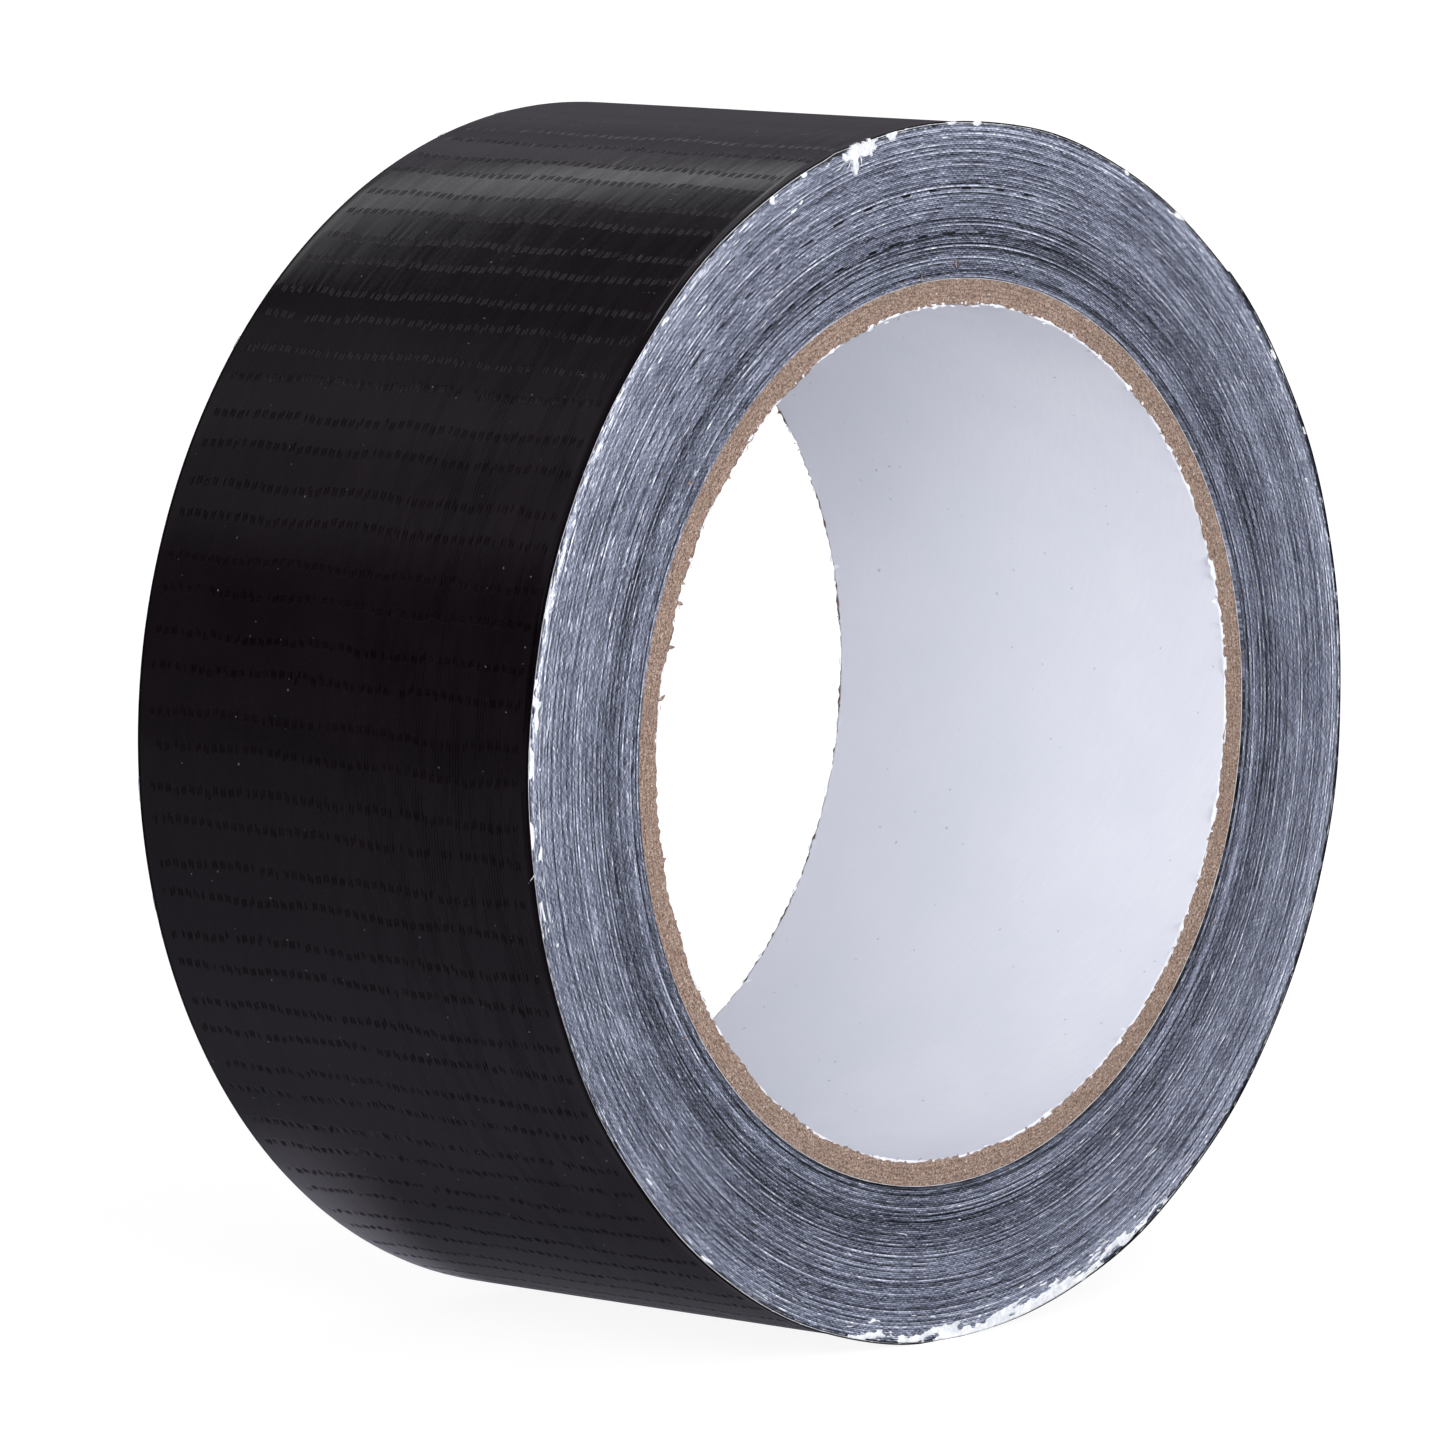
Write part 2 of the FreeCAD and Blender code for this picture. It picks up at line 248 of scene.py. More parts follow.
class Nodes:
    """Short ways to write a material's nodes. An input may be a number, a colour or another node's Value."""

    def __init__(self, name, kind=bpy.data.materials):
        self.material = kind.new(name)
        self.material.use_nodes = True
        self.tree = self.material.node_tree
        self.tree.nodes.clear()

    def node(self, kind, inputs, output=0, **settings):
        """Adds a node and gives one of its outputs."""
        made = self.tree.nodes.new("ShaderNode" + kind)
        for key, value in settings.items():
            setattr(made, key, value)
        for key, value in inputs.items():
            if isinstance(value, Value):
                self.tree.links.new(value.socket, made.inputs[key])
            else:
                made.inputs[key].default_value = value
        return Value(self, made.outputs[output])

    def surface(self, shader, kind="ShaderNodeOutputMaterial"):
        self.tree.links.new(shader.socket, self.tree.nodes.new(kind).inputs["Surface"])
        return self.material

    def math(self, operation, a, b=0.0):
        return self.node("Math", {0: a, 1: b}, operation=operation)

    def spread(self, value, low=0.3, high=0.7, to_low=0.0, to_high=1.0, kind="SMOOTHSTEP"):
        """Maps low..high, at first the usual range of a noise, to to_low..to_high, clamped."""
        inputs = {0: value, 1: low, 2: high, 3: to_low, 4: to_high}
        return self.node("MapRange", inputs, interpolation_type=kind)

    def vector(self, x, y, z):
        return self.node("CombineXYZ", {0: x, 1: y, 2: z})

    def split(self, vector):
        """A vector's x, y and z."""
        x = self.node("SeparateXYZ", {0: vector})
        return [Value(self, socket) for socket in x.socket.node.outputs]

    def scaled(self, vector, factor):
        return self.node("VectorMath", {0: vector, 3: factor}, operation="SCALE")

    def noise(self, where, scale, detail=2.0, roughness=0.5):
        inputs = {"Vector": where, "Scale": scale, "Detail": detail, "Roughness": roughness}
        return self.node("TexNoise", inputs)

    def mix(self, share, a, b):
        """From colour a to colour b."""
        return self.node("Mix", {0: share, 6: a, 7: b}, 2, data_type="RGBA")

    def ramp(self, value, stops, blend="LINEAR"):
        """A curve through (value, grey) pairs."""
        low, high = stops[0][0], stops[-1][0]
        curve = self.node("ValToRGB", {0: self.spread(value, low, high, kind="LINEAR")})
        colours = curve.socket.node.color_ramp
        colours.interpolation = blend
        for place, _ in stops[1:-1]:
            colours.elements.new((place - low) / (high - low))
        for mark, (_, shade) in zip(colours.elements, stops):
            mark.color = grey(shade)
        return curve

    def place(self):
        """The object's own x, y and z in millimetres."""
        return self.split(self.scaled(self.node("TexCoord", {}, "Object"), 1 / MM))

    def round_the_axis(self):
        """Radius and angle round the roll's axis, and the distance along it, in millimetres."""
        x, y, z = self.place()
        return self.math("SQRT", x * x + z * z), self.math("ARCTAN2", z, x), y

    def bump(self, height, distance, strength=1.0, **under):
        """A bumped normal. under may hold the Normal that it starts from."""
        return self.node("Bump", {"Height": height, "Distance": distance * MM, "Strength": strength} | under)

    def finish(self, colour, roughness, normal, specular=0.5):
        inputs = {"Base Color": colour, "Roughness": roughness, "Normal": normal}
        return self.surface(self.node("BsdfPrincipled", inputs | {"Specular IOR Level": specular}))

    def matt(self, lightness):
        return self.node("BsdfDiffuse", {"Color": grey(lightness)})

    def glow(self, colour, strength):
        return self.node("Emission", {"Color": colour, "Strength": strength})

    def seen_by(self, ray, others, shader):
        """One shader for rays of a kind, such as Camera or Glossy, and another for the others."""
        return self.node("MixShader", {0: self.is_ray(ray), 1: others, 2: shader})

    def is_ray(self, kind):
        return self.node("LightPath", {}, f"Is {kind} Ray")


def grey(value):
    return (value, value, value, 1.0)


def film_material():
    """Glossy black polyethylene with scuffs, faint ridges along the tape and specks of dust."""
    n = Nodes("black_film")
    radius, angle, along = n.round_the_axis()
    arc = angle * ROLL_RADIUS
    at = n.vector(along, arc, radius)
    streaks = n.noise(n.vector(along * 1.3, arc * 0.08, 0.0), 1.0, 1.0, 0.5)
    clouds = n.noise(at, 0.12, 3.0, 0.6)
    grain = n.noise(at, 4.0, 4.0, 0.7)
    speck = n.spread(n.noise(at, 2.1, 0.0, 0.4), 0.85, 0.87)
    colour = n.mix(n.spread(clouds), (0.0029, 0.0012, 0.0023, 1), (0.0047, 0.0024, 0.0039, 1))
    colour = n.mix(speck * 0.35, colour, grey(0.3))
    rough = n.spread(streaks, 0.3, 0.7, 0.1, 0.14) + n.spread(grain, 0.3, 0.8, -0.02, 0.04)
    rough += speck * 0.3
    pressed = n.node("Attribute", {}, "Fac", attribute_name="pressed")
    worn = n.spread(pressed, 0.2, 1.0) * n.spread(clouds, 0.35, 0.6, 0.2, 1.0)
    colour = n.mix(worn * 0.04, colour, (0.03, 0.028, 0.034, 1))
    cut_edge = n.spread(abs(along), HALF_WIDTH - 0.50, HALF_WIDTH - 0.30)
    rough += cut_edge * 0.3
    shine = n.spread(pressed, 0.3, 1.0, 0.5, 0.38) * (1.0 - cut_edge * 0.75)
    over_warp = n.math("COSINE", (along - WARP_PLACES[0]) * (TURN / WARP_SPACING))
    rubbed = n.noise(n.vector(along * 0.7, arc * 0.12, 0.0), 1.0, 2.0, 0.6)
    rubbed = n.spread(over_warp, 0.1, 0.9) * n.spread(rubbed, 0.42, 0.62)
    rubbed *= n.spread(along, -12.0, 4.0, 1.0, 0.25)
    shine *= 1.0 - rubbed * 0.7
    colour = n.mix(rubbed * 0.35, colour, (0.001, 0.0006, 0.0009, 1))
    ridges = n.bump(streaks * 0.8 + grain * 0.08, 0.0016)
    normal = n.bump(pressed * -1.0, 0.04, Normal=ridges)
    return n.finish(colour, rough, normal, shine)


RING_SHADES = (
    # radius and how light the cut face is there
    (40.4, 0.50), (40.7, 0.44), (41.1, 0.33), (41.5, 0.43), (42.1, 0.48), (43.1, 0.37), (44.6, 0.36),
    (45.6, 0.42), (47.2, 0.455), (48.1, 0.49), (49.2, 0.44), (50.2, 0.46), (51.4, 0.45), (52.3, 0.49),
    (53.2, 0.53), (54.5, 0.51),
)  # fmt: skip
DASHES = ((57, 3.6, 115), (34, 3.9, 105))  # turns in, millimetres apart, and where round the roll
DASH_RADIUS = 44


def cut_face_material():
    """The edges of the turns: dark film, pale adhesive and cloth, dragged into streaks by the knife, with
    painted light that makes the face lighter to the upper left and darker to the lower left.
    """
    n = Nodes("cut_face")
    radius, angle, along = n.round_the_axis()
    side = n.math("SIGN", along) * 10.0
    behind = n.math("FRACT", (EDGE_ANGLE + 2 * TURN - angle) / TURN)
    depth = (ROLL_RADIUS - radius) / TAPE - behind
    layer = n.math("FLOOR", depth)
    inside = depth - layer
    turns_in = layer + behind
    arc = angle * ROLL_RADIUS

    def along_tape(length, seed, detail=2.0, parts=1):
        """Noise that runs along the tape's own length, so that each turn has its own streaks."""
        strand = n.math("FLOOR", inside * parts) * 7.3 + seed
        at = n.vector(turns_in * (MEAN_TURN / length), strand, side)
        return n.noise(at, 1.0, detail, 0.6) - 0.5

    def beside_turns(length, seed, detail=2.0):
        """As along_tape, but less what the next turn has, so that neighbouring turns stand apart."""
        strand_at = turns_in * (MEAN_TURN / length)
        here = n.noise(n.vector(strand_at, seed, side), 1.0, detail, 0.6)
        following = n.noise(n.vector(strand_at + MEAN_TURN / length, seed, side), 1.0, detail, 0.6)
        return here - following

    def toward(degrees, sharp):
        """1 at an angle round the roll, falling away on both sides."""
        facing = n.math("COSINE", angle - math.radians(degrees))
        return n.math("POWER", n.math("MAXIMUM", facing, 0.0), sharp)

    shade = n.ramp(radius, RING_SHADES)
    x, _, z = n.place()
    patch = n.noise(n.vector(x * 0.16, side, z * 0.16), 1.0, 3.0, 0.6)
    shade += (patch - 0.5) * 0.22
    # painted light: the face is painted lighter round 145 and 340 degrees and darker round 235 degrees, as
    # the light falls on it
    for degrees, sharp, amount in ((145, 3.0, 0.02), (235, 4.0, -0.04), (340, 1.0, 0.03)):
        shade += toward(degrees, sharp) * amount
    shade += beside_turns(50.0, 1.7, 1.0) * 0.66
    shade += beside_turns(6.0, 5.1) * 0.34
    shade += along_tape(1.2, 9.4) * 0.46
    shade += beside_turns(0.35, 11.8, 1.0) * 0.5
    streak = n.spread(along_tape(3.6, 13.0), 0.08, 0.18)
    nick = n.spread(along_tape(0.8, 17.0, 1.0, 2), 0.13, 0.20)
    white_side = toward(150, 2.0) * 0.8 + 0.45
    shade += streak * white_side * 0.24
    shade += nick * 0.14
    film = n.spread(abs(inside - 0.2), 0.1, 0.32, 1.0, 0.0)
    shade += film * -0.2
    gap = n.spread(along_tape(0.9, 23.0, 1.0), 0.20, 0.23)
    shade *= 1.0 - gap * 0.65
    for turns, apart, facing in DASHES:
        this_turn = n.spread(abs(depth - turns), 0.5, 0.9, 1.0, 0.0)
        wobble = along_tape(5.0, turns, 1.0) * 9.0
        wave = n.math("SINE", arc * (DASH_RADIUS / ROLL_RADIUS * TURN / apart) + wobble)
        dash = n.spread(wave, 0.35, 0.6) * this_turn * toward(facing, 3.0)
        shade *= 1.0 - dash * 0.8
    rim_share = toward(160, 6.0) + toward(285, 12.0) + toward(120, 3.0) * 0.4
    near_rim = n.spread(radius, ROLL_RADIUS - 2.1, ROLL_RADIUS - 0.2)
    clot = along_tape(1.8, 41.0, 3.0) + along_tape(14.0, 43.0) * 0.8
    white = n.spread(clot + near_rim * rim_share * 0.16, 0.11, 0.26)
    shade += white * near_rim * 0.4
    ragged = along_tape(1.1, 51.0) * 1.2 + radius
    film_edge = n.spread(ragged, ROLL_RADIUS - 0.28, ROLL_RADIUS - 0.12)
    shade *= 1.0 - film_edge * 0.6
    shade = n.math("MINIMUM", n.math("MAXIMUM", shade, 0.07), 0.97)
    light = n.math("POWER", shade, 2.2) * 1.08
    tint = n.mix(n.spread(shade, 0.3, 0.95), (0.84, 0.935, 1.31, 1), (0.95, 0.985, 1.10, 1))
    normal = n.bump(film * -0.4 + shade, 0.02, 0.5)
    return n.finish(n.scaled(tint, light), n.spread(shade, 0.2, 0.8, 0.42, 0.6), normal)


def board_material():
    """Kraft board: matted brown fibres with dark and pale specks."""
    n = Nodes("kraft_board")
    x, y, z = n.place()
    radius, angle, along = n.round_the_axis()
    at = n.vector(x, y, z)
    fine = n.noise(at, 5.0, 3.0, 0.75)
    fibres = n.noise(n.vector(angle * 80.0, radius * 6.0, along * 6.0), 1.0, 3.0, 0.7)
    patch = n.noise(at, 0.45, 3.0, 0.6)
    mat = fine * 0.65 + fibres * 0.35
    colour = n.mix(n.spread(mat, 0.38, 0.62), (0.105, 0.062, 0.046, 1), (0.45, 0.335, 0.275, 1))
    colour = n.mix(n.spread(patch, 0.35, 0.65) * 0.3, colour, (0.215, 0.15, 0.118, 1))
    dark = n.spread(n.noise(at, 3.8, 1.0, 0.5), 0.64, 0.70)
    pale = n.spread(n.noise(n.vector(y, z, x), 4.2, 1.0, 0.5), 0.67, 0.73)
    colour = n.mix(dark * 0.55, colour, (0.06, 0.04, 0.03, 1))
    colour = n.mix(pale * 0.7, colour, (0.7, 0.62, 0.55, 1))
    return n.finish(colour, 0.92, n.bump(mat, 0.07, 0.8), 0.2)


def liner_material():
    """White paper with a faint grain that runs round the bore at the winding angle, and painted shade towards
    the back of the bore.
    """
    n = Nodes("white_liner")
    radius, angle, along = n.round_the_axis()
    arc = angle * BORE_RADIUS
    at = n.vector(arc, along, radius)
    across = arc * 0.87 + along * -0.49
    upward = arc * 0.49 + along * 0.87
    grain = n.noise(n.vector(across * 0.35, upward * 2.0, 0.0), 1.0, 4.0, 0.65)
    fibre = n.noise(at, 4.5, 4.0, 0.75)
    cloud = n.noise(at, 0.10, 2.0, 0.5)
    speck = n.spread(n.noise(at, 1.6, 0.0, 0.5), 0.845, 0.86)
    colour = n.mix(n.spread(cloud), (0.795, 0.805, 0.875, 1), (0.83, 0.84, 0.90, 1))
    # painted shade: the paper is painted darker towards the back of the bore, where less light reaches
    colour = n.mix(n.spread(along, -14.0, 18.0, 0.0, 0.42), colour, (0.62, 0.64, 0.71, 1))
    colour = n.mix(n.spread(grain, 0.35, 0.65) * 0.09, colour, (0.62, 0.65, 0.73, 1))
    colour = n.mix(n.spread(fibre, 0.35, 0.65) * 0.05, colour, (0.6, 0.63, 0.72, 1))
    colour = n.mix(speck * 0.35, colour, grey(0.2))
    return n.finish(colour, 0.8, n.bump(grain * 0.5 + fibre * 0.5, 0.022, 0.5), 0.25)


def adhesive_material():
    """Soft off-white rubber adhesive."""
    n = Nodes("pale_adhesive")
    _, angle, along = n.round_the_axis()
    at = n.vector(*n.place())
    cloud = n.noise(at, 1.4, 4.0, 0.65)
    warp_ridge = n.math("SINE", along * (TURN / WARP_SPACING))
    weft_ridge = n.math("SINE", angle * (TURN / WEFT_SPACING))
    weave = warp_ridge * 0.5 + weft_ridge * 0.5
    colour = n.mix(n.spread(cloud), (0.62, 0.64, 0.68, 1), (0.88, 0.89, 0.91, 1))
    colour = n.mix(n.spread(weave, 0.0, 1.0, 0.0, 0.35), colour, (0.50, 0.52, 0.56, 1))
    lumps = n.bump(n.noise(at, 7.0, 3.0, 0.6), 0.03, 0.5)
    return n.finish(colour, n.spread(cloud, 0.3, 0.7, 0.35, 0.6), n.bump(weave, 0.02, 0.6, Normal=lumps))


def yarn_material():
    """Off-white polyester yarn: fine fibres along the yarn."""
    n = Nodes("cloth_yarn")
    fibres = n.noise(n.vector(*n.place()), 9.0, 3.0, 0.6)
    colour = n.mix(n.spread(fibres), (0.50, 0.50, 0.49, 1), (0.80, 0.80, 0.78, 1))
    return n.finish(colour, 0.75, n.bump(fibres, 0.02, 0.6))


FILM_LOOK = film_material()
FACE_LOOK = cut_face_material()
BOARD_LOOK = board_material()
LINER_LOOK = liner_material()
ADHESIVE_LOOK = adhesive_material()
YARN_LOOK = yarn_material()


def settle(piece, slot, *nodes):
    """Hides the CAD nodes that a piece of the roll stands for and puts the piece on the roll's body. slot is
    not used.
    """
    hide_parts(*nodes)
    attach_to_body(piece, ROLL)


# ---- the tape's outer turn ----

FLARE_WIDTH = 1.5  # over this width the front edges are pushed out and the back edges in
FLARE_FRONT, FLARE_BACK = 0.27, -0.03
FLAT_HALF = HALF_WIDTH - FLARE_WIDTH
EDGE_ROUND, EDGE_ROUND_WIDTH = 0.09, 0.35  # the knife rolls the very edge inwards
BUCKLE_ANGLE, BUCKLE_HEIGHT = 106.0, 0.22  # a small buckle in the front edge
DENT_LINES = (-0.44, -0.27, 0.0, 0.27, 0.44)  # lines of points over a dent, along the tape
DENT_SHAPE = (0.0, 0.78, 1.0, 0.78, 0.0)
DENT_HALF_WIDTH = 0.135
DENT_DEPTH, DEEPEST_DENT = 0.052, 0.85 * FILM
FULL_DENTS = (math.radians(103), math.radians(112))  # the dents are faint up to the one, full from the other
TAB_START = TURN - (EDGE_ANGLE - HINGE_ANGLE)
PEEL_LENGTH = 6.0  # the tape bends over this length beside the peel line
LAYER_INSET = 0.05  # the adhesive stops short of the film's edge
# torn ends: unevenness, how far back, seed, shortest wave, and the angle over which the tape is drawn back
FILM_TEAR = (0.25, 0.2, 71, 0.8, 0.02)
LAYER_TEAR = (0.35, 0.25, 73, 1.5, 0.05)


def flare(angle, across):
    """How far the tape stands out at its edges, a little unevenly round the roll."""
    near = np.clip((np.abs(across) - FLAT_HALF) / FLARE_WIDTH, 0, 1)
    uneven = 1 + 0.35 * ripple(angle, 45, (2, 3, 5, 8, 13, 21))
    buckle = BUCKLE_HEIGHT * np.exp(-(((np.degrees(angle) % 360 - BUCKLE_ANGLE) / 1.3) ** 2))
    stands_out = np.where(across < 0, FLARE_FRONT * uneven + buckle, FLARE_BACK * uneven)
    rolled = np.clip((np.abs(across) - (HALF_WIDTH - EDGE_ROUND_WIDTH)) / EDGE_ROUND_WIDTH, 0, 1)
    return stands_out * near**2.2 - EDGE_ROUND * rolled**2


def tape_outside(from_edge, across):
    """Radius of the outer turn's outside, at an angle counted on from the tape's free edge."""
    arc = from_edge * ROLL_RADIUS
    radius = ROLL_RADIUS - TAPE * (1 - from_edge / TURN) + flare(EDGE_ANGLE + from_edge, across)
    radius = radius + 0.030 * wave_field(arc, across, 41, 14, 18, 70)
    return radius + 0.0022 * wave_field(arc * 0.2, across, 42, 12, 2.0, 6)


def on_tape(from_edge, across, depth=0.0):
    return polar(tape_outside(from_edge, across) - depth, EDGE_ANGLE + from_edge, across)


def along_steps(start, stop, steps_per_turn):
    """Angles along the tape, close together where the free end bends."""
    steps = np.linspace(start, stop, max(int((stop - start) / TURN * steps_per_turn), 8))
    if start < TAB_START:
        return steps
    return np.union1d(steps, start + np.arange(0, PEEL_LENGTH + 1.5, 0.25) / ROLL_RADIUS)


def film_across():
    """Places across the tape, the share of a dent's depth at each, and the warp yarn that it belongs to."""
    count = len(WARP_PLACES)
    yarns = np.repeat(np.arange(count), 3)
    places = WARP_PLACES[yarns] + np.tile((-DENT_HALF_WIDTH, 0.0, DENT_HALF_WIDTH), count)
    last = places[-1]
    edge = last + (HALF_WIDTH - last) * np.sin(np.linspace(0, math.pi / 2, 7)[1:])
    places = np.concatenate([-edge[::-1], places, edge])
    return places, np.pad(np.tile((0.0, 1.0, 0.0), count), len(edge)), np.pad(yarns, len(edge), "edge")


def film_along(start, stop):
    """Angles along the tape, the share of a dent's depth at each, and the weft row that it belongs to."""
    lines = []
    inside = [(row, middle) for row, middle in enumerate(WEFT_PLACES) if start < middle < stop]
    for row, middle in inside:
        for offset, share in zip(DENT_LINES, DENT_SHAPE):
            lines.append((middle + offset / ROLL_RADIUS, share, row))
    for (row, middle), (_, following) in zip(inside, inside[1:]):
        lines.append(((middle + following) / 2, 0.0, row))
    kept = sorted(line for line in lines if start + 1e-3 < line[0] < stop - 1e-3)
    kept = [(start, 0.0, kept[0][2])] + kept + [(stop, 0.0, kept[-1][2])]
    angles, shares, rows = (np.array(column) for column in zip(*kept))
    if start < TAB_START:
        return angles, shares, rows
    closer = along_steps(start, start + (PEEL_LENGTH + 1.5) / ROLL_RADIUS, 60)
    closer = closer[np.abs(closer[:, None] - angles).min(1) > 0.08 / ROLL_RADIUS]
    both = np.union1d(angles, closer)
    return both, np.interp(both, angles, shares), rows[np.searchsorted(angles, both, "right") - 1]


def dents(from_edge, y, rows, row_shares, yarns, yarn_shares):
    """How deep each point is pressed in over a crossing of the yarns, and how far its row wanders."""
    rng = np.random.default_rng(7)
    size = (len(WEFT_PLACES), len(WARP_PLACES))
    strength = np.clip(rng.normal(1.0, 0.25, size), 0.3, 1.6) * (rng.random(size) > 0.05)
    shift = rng.normal(0, 0.11, size)
    phase = rng.uniform(0, TURN, (len(WEFT_PLACES), 1))
    dent = strength[rows][:, yarns] * row_shares[:, None] * yarn_shares[None, :]
    dent = dent * (1 - smooth_step(HALF_WIDTH - 2.0, HALF_WIDTH - 1.1, np.abs(y)))
    dent = dent * (0.25 + 0.75 * smooth_step(*FULL_DENTS, EDGE_ANGLE + from_edge))
    wander = 0.28 * wave_field(y, from_edge * ROLL_RADIUS * 0.15, 51, 8, 16, 70)
    wander = wander + 0.15 * np.sin(y * TURN / 17 + phase[rows]) + shift[rows][:, yarns]
    return dent, wander


def tear(to_go, y, kind):
    """How far the torn end is moved along the tape, as an angle, at an angle before it and a place across."""
    size, back, seed, shortest, reach = kind
    ragged = size * wave_field(y, y * 0, seed, 9, shortest, 9) - back
    return ragged * smooth_step(reach, 0, to_go) / ROLL_RADIUS


def add_sheet(name, section, material):
    """A closed sheet from the points round its section, row by row along the tape."""
    faces = capped_tube(*section.shape[:2])
    return add_mesh(name, section.reshape(-1, 3), faces, material, (len(faces) - 2, len(faces) - 1))


def build_film(name, start, stop, torn):
    """The film from one angle to another. torn is 1 where its far end was torn across, and otherwise 0."""
    places, yarn_shares, yarns = film_across()
    angles, row_shares, rows = film_along(start, stop)
    from_edge, y = np.meshgrid(angles, places, indexing="ij")
    dent, wander = dents(from_edge, y, rows, row_shares, yarns, yarn_shares)
    settled = smooth_step(0, 0.03, from_edge - start) * smooth_step(0, 0.03, stop - from_edge)
    moved = from_edge + wander * settled / ROLL_RADIUS + torn * tear(stop - from_edge, y, FILM_TEAR)
    outer = on_tape(moved, y, np.minimum(DENT_DEPTH * dent, DEEPEST_DENT))
    under_places = np.concatenate([[HALF_WIDTH], np.linspace(FLAT_HALF, -FLAT_HALF, 7), [-HALF_WIDTH]])
    under_edge, under_y = np.meshgrid(angles, under_places, indexing="ij")
    under_edge = under_edge + torn * tear(stop - under_edge, under_y, FILM_TEAR)
    under = on_tape(under_edge, under_y, FILM)
    section = np.concatenate([outer, under], 1)
    piece = add_sheet(name, section, FILM_LOOK)
    pressed = np.zeros(section.shape[:2], np.float32)
    pressed[:, : len(places)] = dent
    piece.data.attributes.new("pressed", "FLOAT", "POINT").data.foreach_set("value", pressed.ravel())
    undented = np.concatenate([on_tape(moved, y), under], 1)
    shade_as(piece, undented.reshape(-1, 3))
    return piece


def build_adhesive(name, start, stop, torn):
    """The adhesive under the yarns, as a sheet."""
    places = crowded(HALF_WIDTH - LAYER_INSET, 25)
    from_edge, y = np.meshgrid(along_steps(start, stop, 240), places, indexing="ij")
    from_edge = from_edge + torn * tear(stop - from_edge, y, LAYER_TEAR)
    section = [on_tape(from_edge, y, ADHESIVE_TOP), on_tape(from_edge, y, TAPE)[:, ::-1]]
    return add_sheet(name, np.concatenate(section, 1), ADHESIVE_LOOK)


# ---- strands: yarns, threads, strings of adhesive and paper fibres ----


def strand(points, radii, up, flat=1.0, sides=6):
    """A closed tube along points, in millimetres. flat below 1 makes it thin along the direction up."""
    points = np.asarray(points, float)
    radii = np.broadcast_to(radii, len(points))
    along = np.gradient(points, axis=0)
    along /= np.maximum(np.linalg.norm(along, axis=1, keepdims=True), 1e-9)
    up = np.broadcast_to(np.asarray(up, float), points.shape)
    side = np.cross(along, up)
    weak = np.linalg.norm(side, axis=1) < 1e-3
    side[weak] = np.cross(along[weak], (0.3, 0.2, 1.0))
    side /= np.linalg.norm(side, axis=1, keepdims=True)
    high = np.cross(side, along)
    turn = np.arange(sides) * TURN / sides
    ring = side[:, None] * np.cos(turn)[:, None] + flat * high[:, None] * np.sin(turn)[:, None]
    verts = (points[:, None] + ring * radii[:, None, None]).reshape(-1, 3)
    return verts, [face[::-1] for face in capped_tube(len(points), sides)]


def add_strands(name, strands, material):
    verts, faces, first = [], [], 0
    for points, polygons in strands:
        verts.append(points)
        faces += [[k + first for k in polygon] for polygon in polygons]
        first += len(points)
    return add_mesh(name, np.vstack(verts), faces, material)


def outward(from_edge):
    return polar(1.0, EDGE_ANGLE + from_edge, 0 * from_edge)


def warp_strands(start, stop, frayed):
    """The yarns along the tape, as flat strands under the film. frayed lets their ends stand out."""
    rng = np.random.default_rng(81)
    steps = along_steps(start, stop, 140)
    strands = []
    for y in WARP_PLACES:
        stands_out = frayed * rng.uniform(-0.2, 1.0) / ROLL_RADIUS
        angles = steps + stands_out * smooth_step(0.05, 0.0, stop - steps)
        path = on_tape(angles, np.full(len(steps), y), FILM + WARP_DEEP / 2)
        strands.append(strand(path, 0.16, outward(angles), flat=WARP_DEEP / 0.33, sides=4))
    return strands


def weft_strands(start, stop):
    """The yarns across the tape, in pairs under the warp."""
    rng = np.random.default_rng(83)
    strands = []
    for middle in WEFT_PLACES:
        if not start + 0.004 < middle < stop - 0.004:
            continue
        y = crowded(HALF_WIDTH - 0.03, 36)
        bow = 0.3 * wave_field(y, y * 0 + middle * 9, 85, 6, 16, 60) + rng.uniform(-0.1, 0.1)
        angles = middle + bow / ROLL_RADIUS
        path = on_tape(angles, y, FILM + WARP_DEEP + WEFT_DEEP / 2)
        strands.append(strand(path, 0.2, outward(angles), flat=WEFT_DEEP / 0.41, sides=6))
    return strands


def bend(piece, slot, node):
    """A piece of the free end: hides the CAD node that it stands for and bakes the piece's place into its
    mesh.
    """
    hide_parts(node)
    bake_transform(piece)


def build_stretch(name, node, start, stop, torn, attach):
    """A stretch of the outer turn: its film, yarns and adhesive, each in place of a node."""
    attach(build_film(f"{name}_film", start, stop, torn), "backing_film", f"{node}_film")
    warp = add_strands(f"{name}_warp_yarns", warp_strands(start, stop, torn), YARN_LOOK)
    attach(warp, "cloth_yarn", f"{node}_warp_yarns")
    weft = add_strands(f"{name}_weft_yarns", weft_strands(start, stop), YARN_LOOK)
    attach(weft, "cloth_yarn", f"{node}_weft_yarns")
    attach(build_adhesive(f"{name}_adhesive", start, stop, torn), "adhesive", f"{node}_adhesive")


# ---- the wound pack ----

PACK_SEGMENTS = 280
PACK_OUTER = ROLL_RADIUS - 2 * TAPE  # at the low side of the step under the free edge
PACK_LINES = 2 * int((PACK_OUTER - PACK_INNER) / TAPE)
FACE_SINK = 0.04  # how far the cut face lies inside the tape's edge
HIDDEN_LINES = (20.0, -20.0)  # places along the roll of the points of walls that nobody sees


